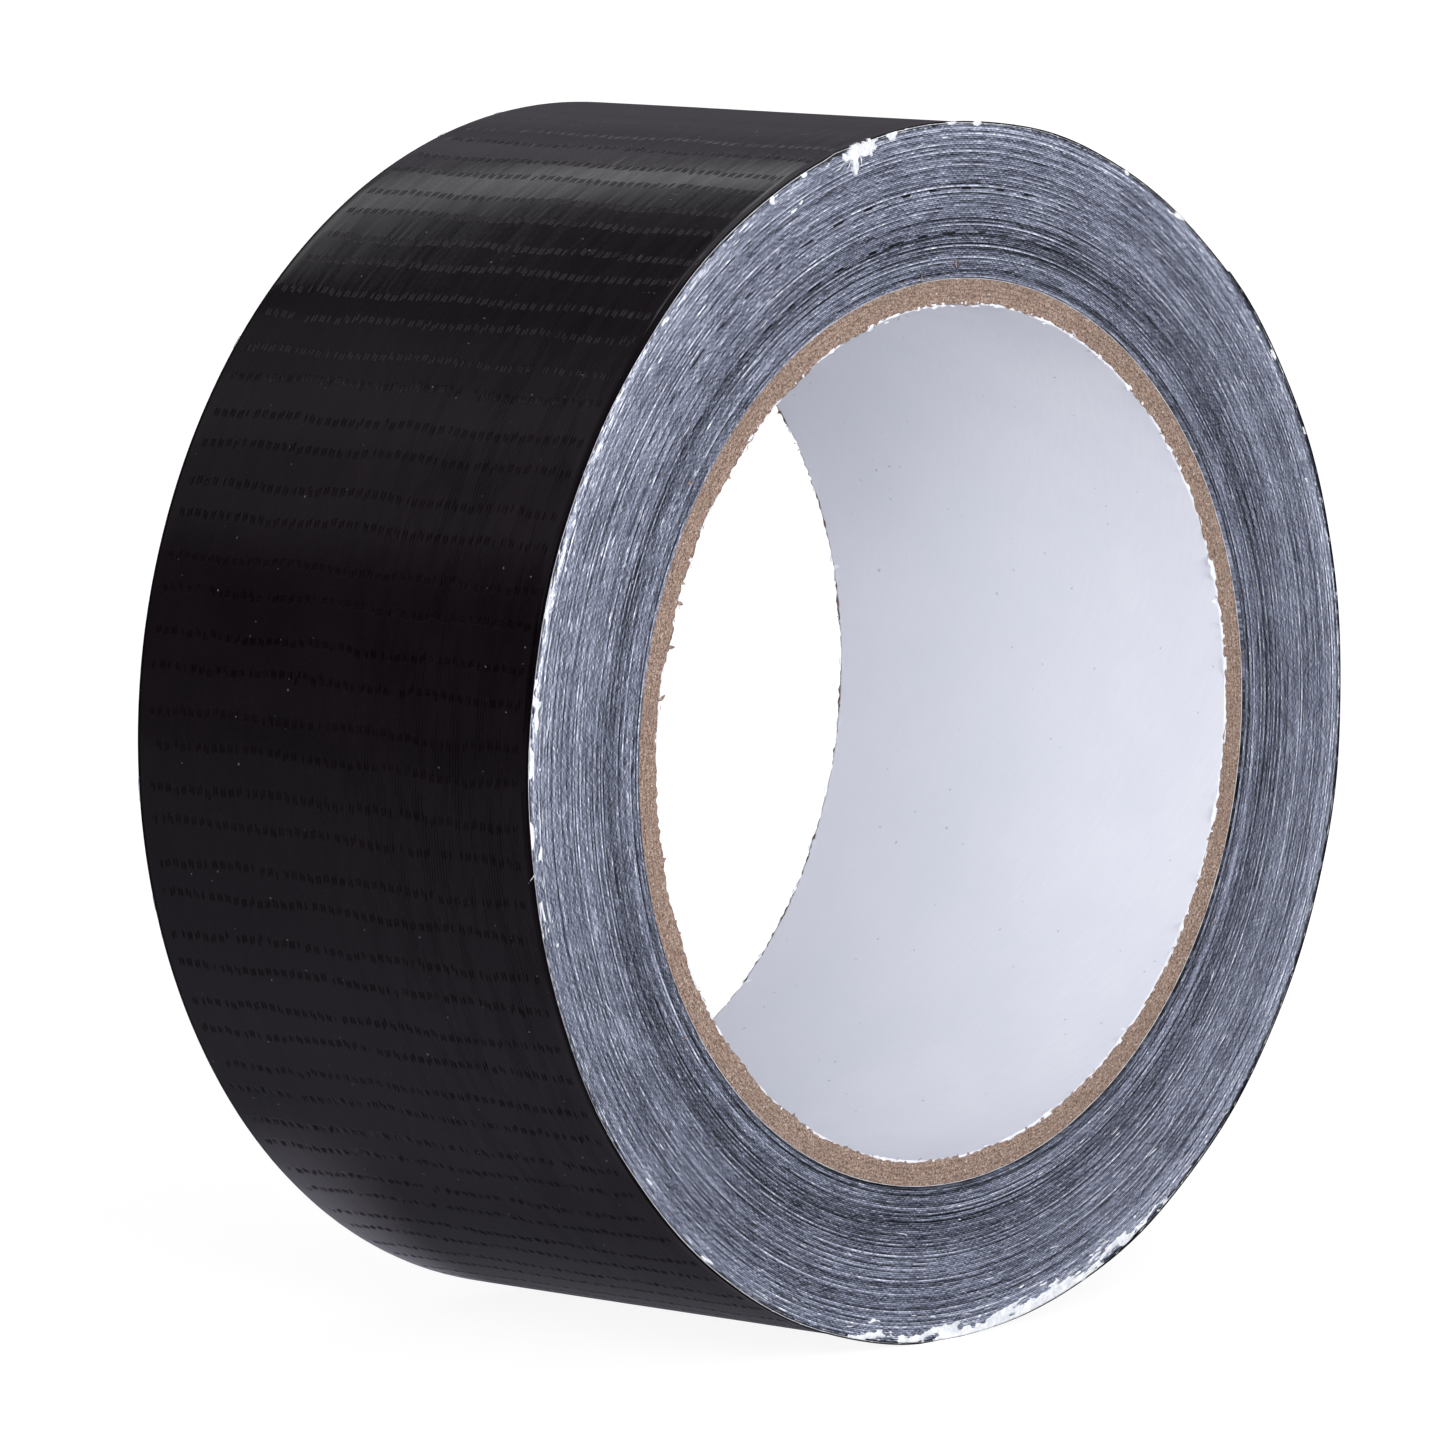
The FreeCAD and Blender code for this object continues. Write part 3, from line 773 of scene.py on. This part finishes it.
def pack_section(side):
    """One cut face: a spiral of lines, in turn a film's edge and the hollow beside it."""
    line, step = np.meshgrid(np.arange(PACK_LINES + 1), np.arange(PACK_SEGMENTS + 1), indexing="ij")
    share = step / PACK_SEGMENTS
    angle = EDGE_ANGLE + share * TURN
    radius = PACK_OUTER - TAPE * (PACK_LINES - line) / 2 + TAPE * share
    turn_number = line / 2 + share
    rough = np.random.default_rng(5 + side).normal(0, 0.008, line.shape)
    rough[:-2, -1] = rough[2:, 0]
    rings = 0.010 * wave_field(turn_number, 0 * share, 60 + side, 16, 1.5, 30)
    waves = 0.012 * wave_field(radius * np.cos(angle), radius * np.sin(angle), 70 + side, 16, 3, 25)
    groove = np.where(line % 2 == 0, 0.0, -0.018)
    height = HALF_WIDTH - FACE_SINK + np.minimum(groove + rough + rings + waves, FACE_SINK - 0.005)
    spread_out = flare(angle, side * HALF_WIDTH + 0 * angle) * np.exp((radius - PACK_OUTER) / 1.2)
    return polar(radius + spread_out, angle, side * height)


def build_pack():
    """The wound tape. Each line of a face runs on, after one turn, into the line two places further out."""
    front, back = pack_section(-1), pack_section(1)
    share = np.arange(PACK_SEGMENTS + 1) / PACK_SEGMENTS
    wall_places = np.linspace(-FLAT_HALF, FLAT_HALF, 7)
    wall = [on_tape(share * TURN, np.full(len(share), y), TAPE) for y in wall_places]
    angles = EDGE_ANGLE + share * TURN
    bore = [polar(PACK_INNER + TAPE * share, angles, y + 0 * share) for y in HIDDEN_LINES]
    loop = np.concatenate([front, np.array(wall), back[::-1], np.array(bore)])
    rows, columns = loop.shape[:2]
    number = np.arange(rows * columns).reshape(rows, columns)
    first_back = PACK_LINES + 1 + len(wall)
    last_back = first_back + PACK_LINES
    number[: PACK_LINES - 1, -1] = number[2 : PACK_LINES + 1, 0]
    number[first_back + 2 : last_back + 1, -1] = number[first_back : last_back - 1, 0]
    faces = number.ravel()[np.array(grid_faces(rows, columns, closed_rows=True))].tolist()
    outer_step = number[PACK_LINES : first_back + 1, 0].tolist()
    outer_step += number[PACK_LINES - 1 : first_back + 2, -1].tolist()[::-1]
    inner_step = number[[last_back - 1, last_back, -2, -1, 0, 1], 0].tolist()
    inner_step += number[[last_back, -2, -1, 0], -1].tolist()[::-1]
    count = len(faces)
    faces += [outer_step, inner_step]
    piece = add_mesh("wound_tape", loop.reshape(-1, 3), faces, FACE_LOOK, (count, count + 1))
    piece.data.materials.append(FILM_LOOK)
    row = np.append(np.arange(count) // (columns - 1), (0, 0))
    on_wall = (row >= PACK_LINES) & (row < first_back)
    piece.data.polygons.foreach_set("material_index", on_wall.astype(np.int32))
    settle(piece, "tape_laminate", "tape_pack")


# ---- residue: soft white adhesive dragged out over the cut face ----

COAT_ROOT, COAT_BOTTOM = 0.06, 0.08  # how deep in the cut face a coat's thin edge and its bottom lie
RIM_DEPTH, RIM_COAT, RIM_STEPS = 2.6, 0.09, 2600
RIM_EDGE = ROLL_RADIUS - 0.15  # where the coat is thickest


def residue(name, field, radii, angles, side, height):
    """A thin uneven coat on a cut face. field gives, over a grid of radius and angle, how thick it is."""
    radius, angle = np.meshgrid(radii, angles, indexing="ij")
    thick = field(radius, angle)
    face = HALF_WIDTH - FACE_SINK
    top = face - COAT_ROOT + (height + COAT_ROOT) * np.sqrt(np.clip(thick * 2.5, 0, 1))
    solid = thick > -0.05
    keep = solid[:-1, :-1] & solid[1:, :-1] & solid[:-1, 1:] & solid[1:, 1:]
    rows, columns = radius.shape
    upper = polar(radius, angle, side * top).reshape(-1, 3)
    bottom = np.full(radius.shape, side * (face - COAT_BOTTOM))
    lower = polar(radius, angle, bottom).reshape(-1, 3)
    i, j = np.nonzero(keep)
    corner = i * columns + j
    corners = np.stack([corner, corner + 1, corner + columns + 1, corner + columns], -1)
    count = rows * columns
    top_faces = corners if side < 0 else corners[:, ::-1]
    bottom_faces = top_faces[:, ::-1] + count
    edges = np.concatenate([top_faces[:, [k, (k + 1) % 4]] for k in range(4)])
    key = edges[:, 0].astype(np.int64) * count + edges[:, 1]
    opposite = edges[:, 1].astype(np.int64) * count + edges[:, 0]
    rim = edges[~np.isin(key, opposite)]
    walls = np.stack([rim[:, 1], rim[:, 0], rim[:, 0] + count, rim[:, 1] + count], -1)
    faces = np.concatenate([top_faces, bottom_faces, walls])
    piece = add_mesh(name, np.vstack([upper, lower]), faces.tolist(), ADHESIVE_LOOK)
    settle(piece, "adhesive")


def angle_from(angle, degrees):
    """How far an angle is on from the one in degrees, from -pi to pi."""
    return (angle - math.radians(degrees) + math.pi) % TURN - math.pi


def near_angle(angle, degrees, spread):
    """1 at an angle round the roll, falling to 0 at spread degrees on either side."""
    return np.clip(1 - (np.degrees(angle_from(angle, degrees)) / spread) ** 2, 0, 1)


def rim_field(seed, sectors, clots):
    """White streaks that crowd towards the outer edge, in the given sectors: (angle, spread, amount).

    clots are thicker scraps at the edge: (angle, half length, half depth)."""

    def field(radius, angle):
        arc = angle * ROLL_RADIUS
        crowd = sum(amount * near_angle(angle, at, spread) for at, spread, amount in sectors)
        streaks = wave_field(arc * 0.22, radius, seed, 30, 0.25, 1.6)
        streaks = streaks + 0.5 * wave_field(arc, radius, seed + 1, 20, 1.5, 9)
        outer_share = smooth_step(ROLL_RADIUS - RIM_DEPTH, RIM_EDGE, radius)
        coat = 0.8 * streaks - 1.6 + crowd * (0.6 + 1.5 * outer_share**1.5)
        for at, half_length, half_depth in clots:
            across = angle_from(angle, at) * ROLL_RADIUS
            clot = 1.0 - (across / half_length) ** 2 - ((RIM_EDGE - radius) / half_depth) ** 2 + 0.5 * streaks
            coat = np.maximum(coat, np.minimum(clot, 0.5))
        return coat

    return field


FRONT_SECTORS = ((172, 42, 0.66), (104, 24, 0.58), (279, 30, 1.20), (232, 30, 0.35), (25, 48, 0.42))
FRONT_CLOTS = (
    (98.6, 0.9, 0.55), (90.2, 0.7, 0.35), (86.4, 0.6, 0.35), (116.0, 0.5, 0.6), (178.0, 1.5, 0.45),
    (184.5, 1.3, 0.5), (64.0, 0.5, 0.3), (55.0, 0.7, 0.3), (35.0, 0.6, 0.25),
)  # fmt: skip
BACK_SECTORS = ((200, 50, 0.6), (325, 35, 0.9), (95, 45, 0.5), (20, 40, 0.35))
BACK_CLOTS = ((140.0, 0.9, 0.5), (60.0, 0.7, 0.4), (250.0, 1.2, 0.5), (10.0, 0.6, 0.4))


def build_residue():
    angles = np.arange(0, RIM_STEPS) * TURN / RIM_STEPS
    sides = ((-1, "front", 301, FRONT_SECTORS, FRONT_CLOTS), (1, "back", 331, BACK_SECTORS, BACK_CLOTS))
    for side, where, seed, sectors, clots in sides:
        field = rim_field(seed, sectors, clots)
        radii = np.arange(ROLL_RADIUS - RIM_DEPTH, ROLL_RADIUS - 0.04 * (1 + 3 * side), 0.10)
        residue(f"rim_residue_{where}", field, radii, angles, side, RIM_COAT)


# ---- the core ----


def build_tube(name, inner, outer, segments, material, end_lines, shape):
    """A tube whose section is moved point by point: shape gives radius and place along for each."""
    rim = np.linspace(0, 1, end_lines)
    section = [(inner, y) for y in crowded(CORE_HALF, 23)[1:-1]]
    section += [(inner + (outer - inner) * s, CORE_HALF) for s in rim]
    section += [(outer, y) for y in (HIDDEN_LINES[0], 0.0, HIDDEN_LINES[1])]
    section += [(outer - (outer - inner) * s, -CORE_HALF) for s in rim]
    radii, places = np.array(section).T
    angles = np.arange(segments) * TURN / segments
    radius, angle = np.meshgrid(radii, angles)
    along = np.broadcast_to(places, radius.shape).copy()
    radius, along = shape(radius.copy(), angle, along)
    faces = grid_faces(segments, len(section), closed_rows=True, closed_columns=True)
    faces = [face[::-1] for face in faces]
    return add_mesh(name, polar(radius, angle, along).reshape(-1, 3), faces, material)


def scallops(angle, along, seed, coarse, fine):
    """The two sizes of tears along the core's inner edges, each about -1 to 1, not the same at both ends."""
    place = angle + 2.0 * np.sign(along)
    return ripple(place, seed, coarse), ripple(place, seed + 1, fine)


def ply_shape(seed, inner, outer, burr):
    """Roughens the ends of a ply. burr folds the innermost edge inwards in torn scallops, over the liner."""
    rng = np.random.default_rng(seed)

    def shape(radius, angle, along):
        end = np.abs(np.abs(along) - CORE_HALF) < 1e-6
        side = np.sign(along)
        depth = (radius - inner) / (outer - inner)
        rough = rng.normal(0, 0.020, radius.shape) + 0.02 * ripple(angle, seed + 1, range(30, 90, 7))
        coarse, fine = scallops(angle, along, seed + 2, range(7, 40, 3), range(60, 260, 13))
        torn = 0.16 + 0.13 * coarse + 0.07 * fine
        spike = np.maximum(rng.normal(0, 1, (radius.shape[0], 1)) - 1.9, 0) * 0.35
        lip = burr * np.clip(torn + spike, 0, 0.6)
        near_end = smooth_step(CORE_HALF - 0.5, CORE_HALF, np.abs(along)) * (depth < 0.5)
        radius = radius - lip * near_end * (1 - depth) ** 1.5
        along = along + side * end * (rough - 0.03 + 0.10 * lip * (depth < 0.1))
        return radius, along

    return shape


LINER_LIP = 0.50  # how far scraps of the liner stand into the bore at its ends


def liner_shape(radius, angle, along):
    rng = np.random.default_rng(91)
    end = np.abs(np.abs(along) - CORE_HALF) < 1e-6
    ragged = 0.10 * ripple(angle, 92, range(20, 160, 9)) + 0.05 * rng.normal(0, 1, (radius.shape[0], 1))
    coarse, fine = scallops(angle, along, 94, range(9, 60, 4), range(70, 240, 13))
    torn = 0.5 * coarse + 0.5 * fine
    lip = LINER_LIP * np.clip(torn - 0.35, 0, 0.9) * (0.55 + 0.45 * np.cos(angle - math.radians(20)))
    lip = lip * np.where(along < 0, 1.0, 0.25)
    inner_edge = (radius < CORE_RADII[0] + 0.02) & (np.abs(along) > CORE_HALF - 1.0)
    along = along - np.sign(along) * end * (np.clip(ragged + 0.05, 0, 0.3) + 0.06) * (lip < 0.05)
    radius = radius + 0.025 * wave_field(angle * BORE_RADIUS, along, 93, 10, 14, 60)
    near_end = smooth_step(CORE_HALF - 0.6, CORE_HALF, np.abs(along))
    return radius - lip * near_end * inner_edge, along


def build_core():
    liner = build_tube("paper_liner", CORE_RADII[0], CORE_RADII[1], 900, LINER_LOOK, 3, liner_shape)
    settle(liner, "liner_paper", "core_liner")
    for number, node in enumerate(CORE_NODES[1:], start=1):
        inner, outer = CORE_RADII[number], CORE_RADII[number + 1]
        shape = ply_shape(100 + 10 * number, inner, outer, 1.0 if number == 1 else 0.0)
        segments = 1400 if number == 1 else 800
        ply = build_tube(f"board_ply_{number}", inner, outer, segments, BOARD_LOOK, 6, shape)
        settle(ply, "kraft_board", node)
    first_turn = frame["nodes"]["first_turn_adhesive"].data.materials
    first_turn.clear()
    first_turn.append(ADHESIVE_LOOK)


# ---- loose bits: strings of adhesive, the torn lump, board fibres and paper shreds ----

ON_FACE = (0.0, 1.0, 0.0)
LUMP_ANGLE = 103.5
FLAKES = (40.6, 42.6)  # flakes of board lie on the cut face between these radii


def wandering_path(rng, radius, degrees, heading, length, lift, bend_by):
    """A curved line on the front face. heading turns from outward (0) to along the turns (90), in degrees."""
    share = np.linspace(0, 1, 9)
    turn = math.radians(heading) + bend_by * rng.normal() * share + 0.25 * bend_by * rng.normal(0, 1, 9)
    step = length / 8
    out = np.concatenate([[0], np.cumsum(np.cos(turn[1:]))]) * step
    along = np.concatenate([[0], np.cumsum(np.sin(turn[1:]))]) * step
    angle = math.radians(degrees) + along / radius
    height = FACE_SINK - lift * (0.6 + 0.8 * np.sin(share * math.pi) * rng.random())
    return polar(radius + out, angle, -HALF_WIDTH + height)


def either(draw, value):
    """A random draw, where the value is a pair to draw with, or else the value itself."""
    return draw(*value) if isinstance(value, tuple) else value


def scrap(rng, course, thick, flat, ends=0.25, bend_by=0.5, sunk=0.0, side=-1):
    """A strand on a face, thinner towards its ends. sunk is how far it lies inside the face.

    course is its radius, degrees, heading, length and lift. The heading may be a middle and a spread to draw
    with, the length and the thickness may be limits."""
    radius, degrees, heading, length, lift = course
    heading = either(rng.normal, heading)
    path = wandering_path(rng, radius, degrees, heading, either(rng.uniform, length), lift, bend_by)
    share = np.linspace(0, 1, len(path))
    swell = ends + (1 - ends) * np.sin(math.pi * np.clip(share * 0.9 + 0.05, 0, 1))
    return strand((path + (0, sunk, 0)) * (1, -side, 1), either(rng.uniform, thick) * swell, ON_FACE, flat)


def adhesive_strings():
    """Fine strings that lie along the turns, a few hairs at the rim, and some over the torn lump."""
    rng = np.random.default_rng(401)
    strands = []
    for number in range(260):
        places = (rng.normal(165, 28), rng.normal(285, 22), rng.uniform(0, 360))
        degrees = rng.choice(places, p=(0.4, 0.25, 0.35))
        radius = ROLL_RADIUS - 0.25 - abs(rng.normal(0, 0.8)) if rng.random() < 0.6 else rng.uniform(42, 54)
        course = (radius, degrees, (90, 5), (0.3, 1.5), 0.02)
        side = -1 if number < 170 else 1
        strands.append(scrap(rng, course, (0.022, 0.05), 0.45, bend_by=0.12, side=side))
    for degrees in (196, 192.5, 188, 172, 64, 52, 289):
        strands.append(scrap(rng, (ROLL_RADIUS - 0.1, degrees, (70, 20), (0.8, 1.6), 0.08), 0.035, 0.8))
    for _ in range(20):
        degrees = LUMP_ANGLE + rng.normal(0, 1.3)
        heading = rng.choice([rng.normal(180, 25), rng.normal(90, 15), rng.normal(-90, 15)])
        radius = ROLL_RADIUS - rng.uniform(0.3, 1.1)
        strands.append(scrap(rng, (radius, degrees, heading, (0.5, 1.7), 0.14), (0.04, 0.09), 0.6, ends=0.1))
    return strands


def lump_field(radius, angle):
    """The torn lump of adhesive: a body at the edge and two drips towards the core."""
    across = (angle - math.radians(LUMP_ANGLE)) * ROLL_RADIUS
    down = ROLL_RADIUS - radius
    body = 0.9 - ((across + 0.2) / 2.6) ** 2 - ((down - 0.55) / 0.70) ** 2
    drip = 0.8 - ((across - 0.5 - 0.15 * down) / 0.45) ** 2 - np.clip((down - 0.8) / 1.9, 0, None) ** 4
    second = 0.6 - ((across + 1.5) / 0.22) ** 2 - np.clip((down - 0.6) / 1.1, 0, None) ** 4
    rough = 0.30 * wave_field(across, down, 411, 18, 0.4, 2.0)
    return np.maximum.reduce([body, drip, second]) + rough


def board_fibres():
    """Kraft fibres along the torn inner edges of the core, and a few flakes on the cut face."""
    rng = np.random.default_rng(421)
    strands = []
    for number in range(110):
        radius = BORE_RADIUS + rng.uniform(-0.05, 0.3)
        course = (radius, rng.uniform(0, 360), (115, 25), (0.25, 0.7), 0.02)
        side = -1 if number < 60 else 1
        strands.append(scrap(rng, course, (0.025, 0.05), 0.6, sunk=0.25, side=side))
    for degrees in (97, 96, 88, 144, 215, 330, 5):
        course = (rng.uniform(*FLAKES), degrees + rng.normal(0, 1), (180, 25), (0.5, 1.3), 0.09)
        strands.append(scrap(rng, course, (0.07, 0.11), 0.4, ends=0.4))
    for degrees in (158, 164, 171):
        course = (BORE_RADIUS + 0.2, degrees, (180, 15), (0.8, 1.2), 0.05)
        strands.append(scrap(rng, course, 0.17, 0.5, ends=0.1, sunk=0.3))
    return strands


def paper_shreds():
    """White scraps of the liner, mostly flat along the torn edges."""
    rng = np.random.default_rng(431)
    strands = []
    for number in range(80):
        places = (rng.uniform(-60, 40), rng.normal(75, 12), rng.uniform(0, 360))
        degrees = rng.choice(places, p=(0.55, 0.25, 0.2))
        course = (BORE_RADIUS + rng.uniform(-0.18, 0.12), degrees, (90, 9), (0.3, 0.9), 0.02)
        side = -1 if number < 50 else 1
        strands.append(scrap(rng, course, (0.05, 0.11), 0.3, bend_by=0.2, sunk=0.22, side=side))
    return strands


def build_bits():
    radii = np.arange(ROLL_RADIUS - 4.4, ROLL_RADIUS + 0.3, 0.10)
    angles = np.radians(np.arange(LUMP_ANGLE - 5.5, LUMP_ANGLE + 5.0, 0.11))
    residue("adhesive_lump", lump_field, radii, angles, -1, 0.35)
    settle(add_strands("adhesive_strings", adhesive_strings(), ADHESIVE_LOOK), "adhesive")
    settle(add_strands("board_fibres", board_fibres(), BOARD_LOOK), "kraft_board")
    settle(add_strands("paper_shreds", paper_shreds(), LINER_LOOK), "liner_paper")


build_stretch("outer", "outer_turn", 0.0, TAB_START, 0, settle)
build_stretch("free_end", "end_tab", TAB_START, TURN, 1, bend)
build_pack()
build_residue()
build_core()
build_bits()


# ---- floor, light and camera ----

FLOOR_LEVEL = -ROLL_RADIUS - 0.05
REFLECTED_FLOOR = (
    # x in millimetres, and how bright the floor's painted light and shade is there in the film's gloss
    (-600, 0.100), (-223, 0.165), (-145, 0.179), (-86, 0.205), (-72, 0.222), (-60, 0.227), (-43, 0.181),
    (-30, 0.108), (-20, 0.107), (60, 0.125), (300, 0.155),
)  # fmt: skip
STUDIO_GAPS = (
    # how far a direction points along the roll's axis, and how much light is left there between dark gaps
    (0.0, 1.0), (0.06, 1.0), (0.14, 0.12), (0.43, 0.12), (0.57, 1.0), (0.79, 1.0), (0.88, 0.12), (1.0, 0.12),
)  # fmt: skip
REFLECTED_SKY = (
    # angle over the horizon, measured from +X over the top to -X, and how bright the studio is there
    (0, 0.093), (14, 0.114), (30, 0.166), (42, 0.240), (51, 0.253), (60, 0.148), (74, 0.096), (88, 0.084),
    (104, 0.171), (120, 0.235), (144, 0.229), (151, 0.090), (160, 0.064), (172, 0.085), (180, 0.110),
)  # fmt: skip
STRIP_GLOW = 1.05
STRIP_BOX = (-60.0, 620.0, 356.0, 436.0)  # x from, x to, z from, z to
STRIP_BEHIND = 391.0


def floor_material():
    """White to the camera with a faint shadow; in the film's gloss a dim painted glow of light and shade,
    with a painted pool of light behind the roll; pale as a source of light.
    """
    n = Nodes("pale_floor")
    x, y, _ = n.place()
    away = n.math("SQRT", x * x + y * y)
    glow = n.glow(grey(1.0), n.spread(away, 80.0, 420.0, 0.91, 1.0))
    seen = n.node("AddShader", {0: n.matt(0.22), 1: glow})
    # painted light: a pool of light on the floor behind the roll, painted into the glow that the film's gloss
    # sees
    painted_light_pool = n.spread(y, 22.0, 40.0) * n.spread(x, -46.0, -24.0, 0.0, 0.5) * n.spread(x, 20.0, 120.0, 1.0, 0.0)
    arrives = n.split(n.node("NewGeometry", {}, "Incoming"))
    gaps = n.ramp(abs(arrives[1]), STUDIO_GAPS)
    strength = (n.ramp(x, REFLECTED_FLOOR) + painted_light_pool) * n.spread(gaps, 0.0, 1.0, 0.35, 1.0)
    unseen = n.seen_by("Glossy", n.matt(0.84), n.glow((0.98, 0.95, 1.12, 1), strength))
    return n.surface(n.seen_by("Camera", unseen, seen))


def build_floor():
    size = 12000.0
    corners = [(x * size, y * size, FLOOR_LEVEL) for x, y in ((-1, -1), (1, -1), (1, 1), (-1, 1))]
    add_mesh("floor", corners, [[0, 1, 2, 3]], floor_material())


def strip_material(left, right, low, high):
    """A long softbox: brightest along its middle, fading towards its edges."""
    n = Nodes("softbox")
    x, y, z = n.place()
    rise = n.spread(z, low, low + 26.0)
    fall = n.spread(z, high - 46.0, high, 1.0, 0.0)
    ends = n.spread(x, left, left + 60.0) * n.spread(x, right - 60.0, right, 1.0, 0.0)
    mottle = n.spread(n.noise(n.vector(x, y, z), 0.02), 0.3, 0.7, 0.85, 1.0)
    return n.surface(n.glow((0.97, 0.97, 1.0, 1), rise * fall * (ends * mottle) * STRIP_GLOW))


def build_strip(name, side):
    """The soft light that makes the bright band over the top of the film."""
    left, right, low, high = STRIP_BOX
    ends = (left * side, right * side)
    corners = [(ends[i], side * STRIP_BEHIND, z) for i, z in ((0, low), (1, low), (1, high), (0, high))]
    box = add_mesh(name, corners, [[0, 1, 2, 3]], strip_material(*sorted(ends), low, high))
    box.visible_camera = False
    box.visible_shadow = False


def lamp(name, place, size, power):
    """A soft square lamp, turned towards the roll, that isn't seen in its gloss."""
    data = bpy.data.lights.new(name, "AREA")
    data.shape = "SQUARE"
    data.size = size
    data.energy = power
    thing = bpy.data.objects.new(name, data)
    thing.location = place
    thing.rotation_euler = (-Vector(place)).to_track_quat("-Z", "Y").to_euler()
    thing.visible_glossy = False
    bpy.context.scene.collection.objects.link(thing)


def build_world():
    """Even light all round. The film's gloss sees bright bands with dark gaps, the camera plain white."""
    n = Nodes("studio", bpy.data.worlds)
    bpy.context.scene.world = n.material
    direction = n.node("TexCoord", {}, "Generated")
    x, y, z = n.split(direction)
    over = n.math("ARCTAN2", z, x * n.math("SIGN", y)) * (180 / math.pi)
    soft = n.scaled((1.0, 1.01, 1.07), n.spread(y, -0.5, 0.4, 0.51, 0.18))
    gloss = n.ramp(over, REFLECTED_SKY, "EASE") * n.spread(n.noise(direction, 7.0), 0.3, 0.7, 0.82, 1.18)
    gaps = n.ramp(abs(y), STUDIO_GAPS)
    depth = n.spread(over, 130.0, 156.0, 0.50, 1.0)
    gloss *= 1.0 - (1.0 - gaps) * depth
    gloss += n.spread(z, 0.78, 0.84, 0.0, 0.5)
    sky = n.mix(n.is_ray("Glossy"), soft, n.scaled((1.02, 0.96, 1.10), gloss))
    sky = n.mix(n.is_ray("Camera"), sky, (1, 1, 1, 1))
    n.surface(n.node("Background", {"Color": sky, "Strength": 1.0}), "ShaderNodeOutputWorld")


CAMERA_AZIMUTH = math.radians(-47.425)
CAMERA_ELEVATION = math.radians(6.492)
CAMERA_DISTANCE = 1019.1
CAMERA_SHIFT = (-2.69, -0.86)  # to the right and up, so that the roll stands where it should in the frame
LENS, SENSOR = 281.7, 36.0


def build_camera():
    a, e = CAMERA_AZIMUTH, CAMERA_ELEVATION
    back = Vector((math.sin(a) * math.cos(e), -math.cos(a) * math.cos(e), math.sin(e)))
    right = Vector((math.cos(a), math.sin(a), 0))
    up = back.cross(right)
    data = bpy.data.cameras.new("camera")
    data.lens, data.sensor_width = LENS, SENSOR
    data.clip_start, data.clip_end = 0.05, 100
    camera = bpy.data.objects.new("camera", data)
    place = back * CAMERA_DISTANCE + right * CAMERA_SHIFT[0] + up * CAMERA_SHIFT[1]
    camera.location = place * MM
    camera.rotation_mode = "QUATERNION"
    camera.rotation_quaternion = (-back).to_track_quat("-Z", "Y")
    bpy.context.scene.collection.objects.link(camera)
    bpy.context.scene.camera = camera


build_floor()
build_world()
build_strip("softbox_back", 1)
build_strip("softbox_front", -1)
lamp("key", (-0.36, -0.50, 0.20), 0.30, 2.6)
lamp("soft_right", (0.70, -0.90, 0.20), 0.70, 3.0)
lamp("low_left", (-0.50, -0.62, 0.00), 0.20, 1.6)
build_camera()
bpy.context.scene.view_settings.view_transform = "Standard"
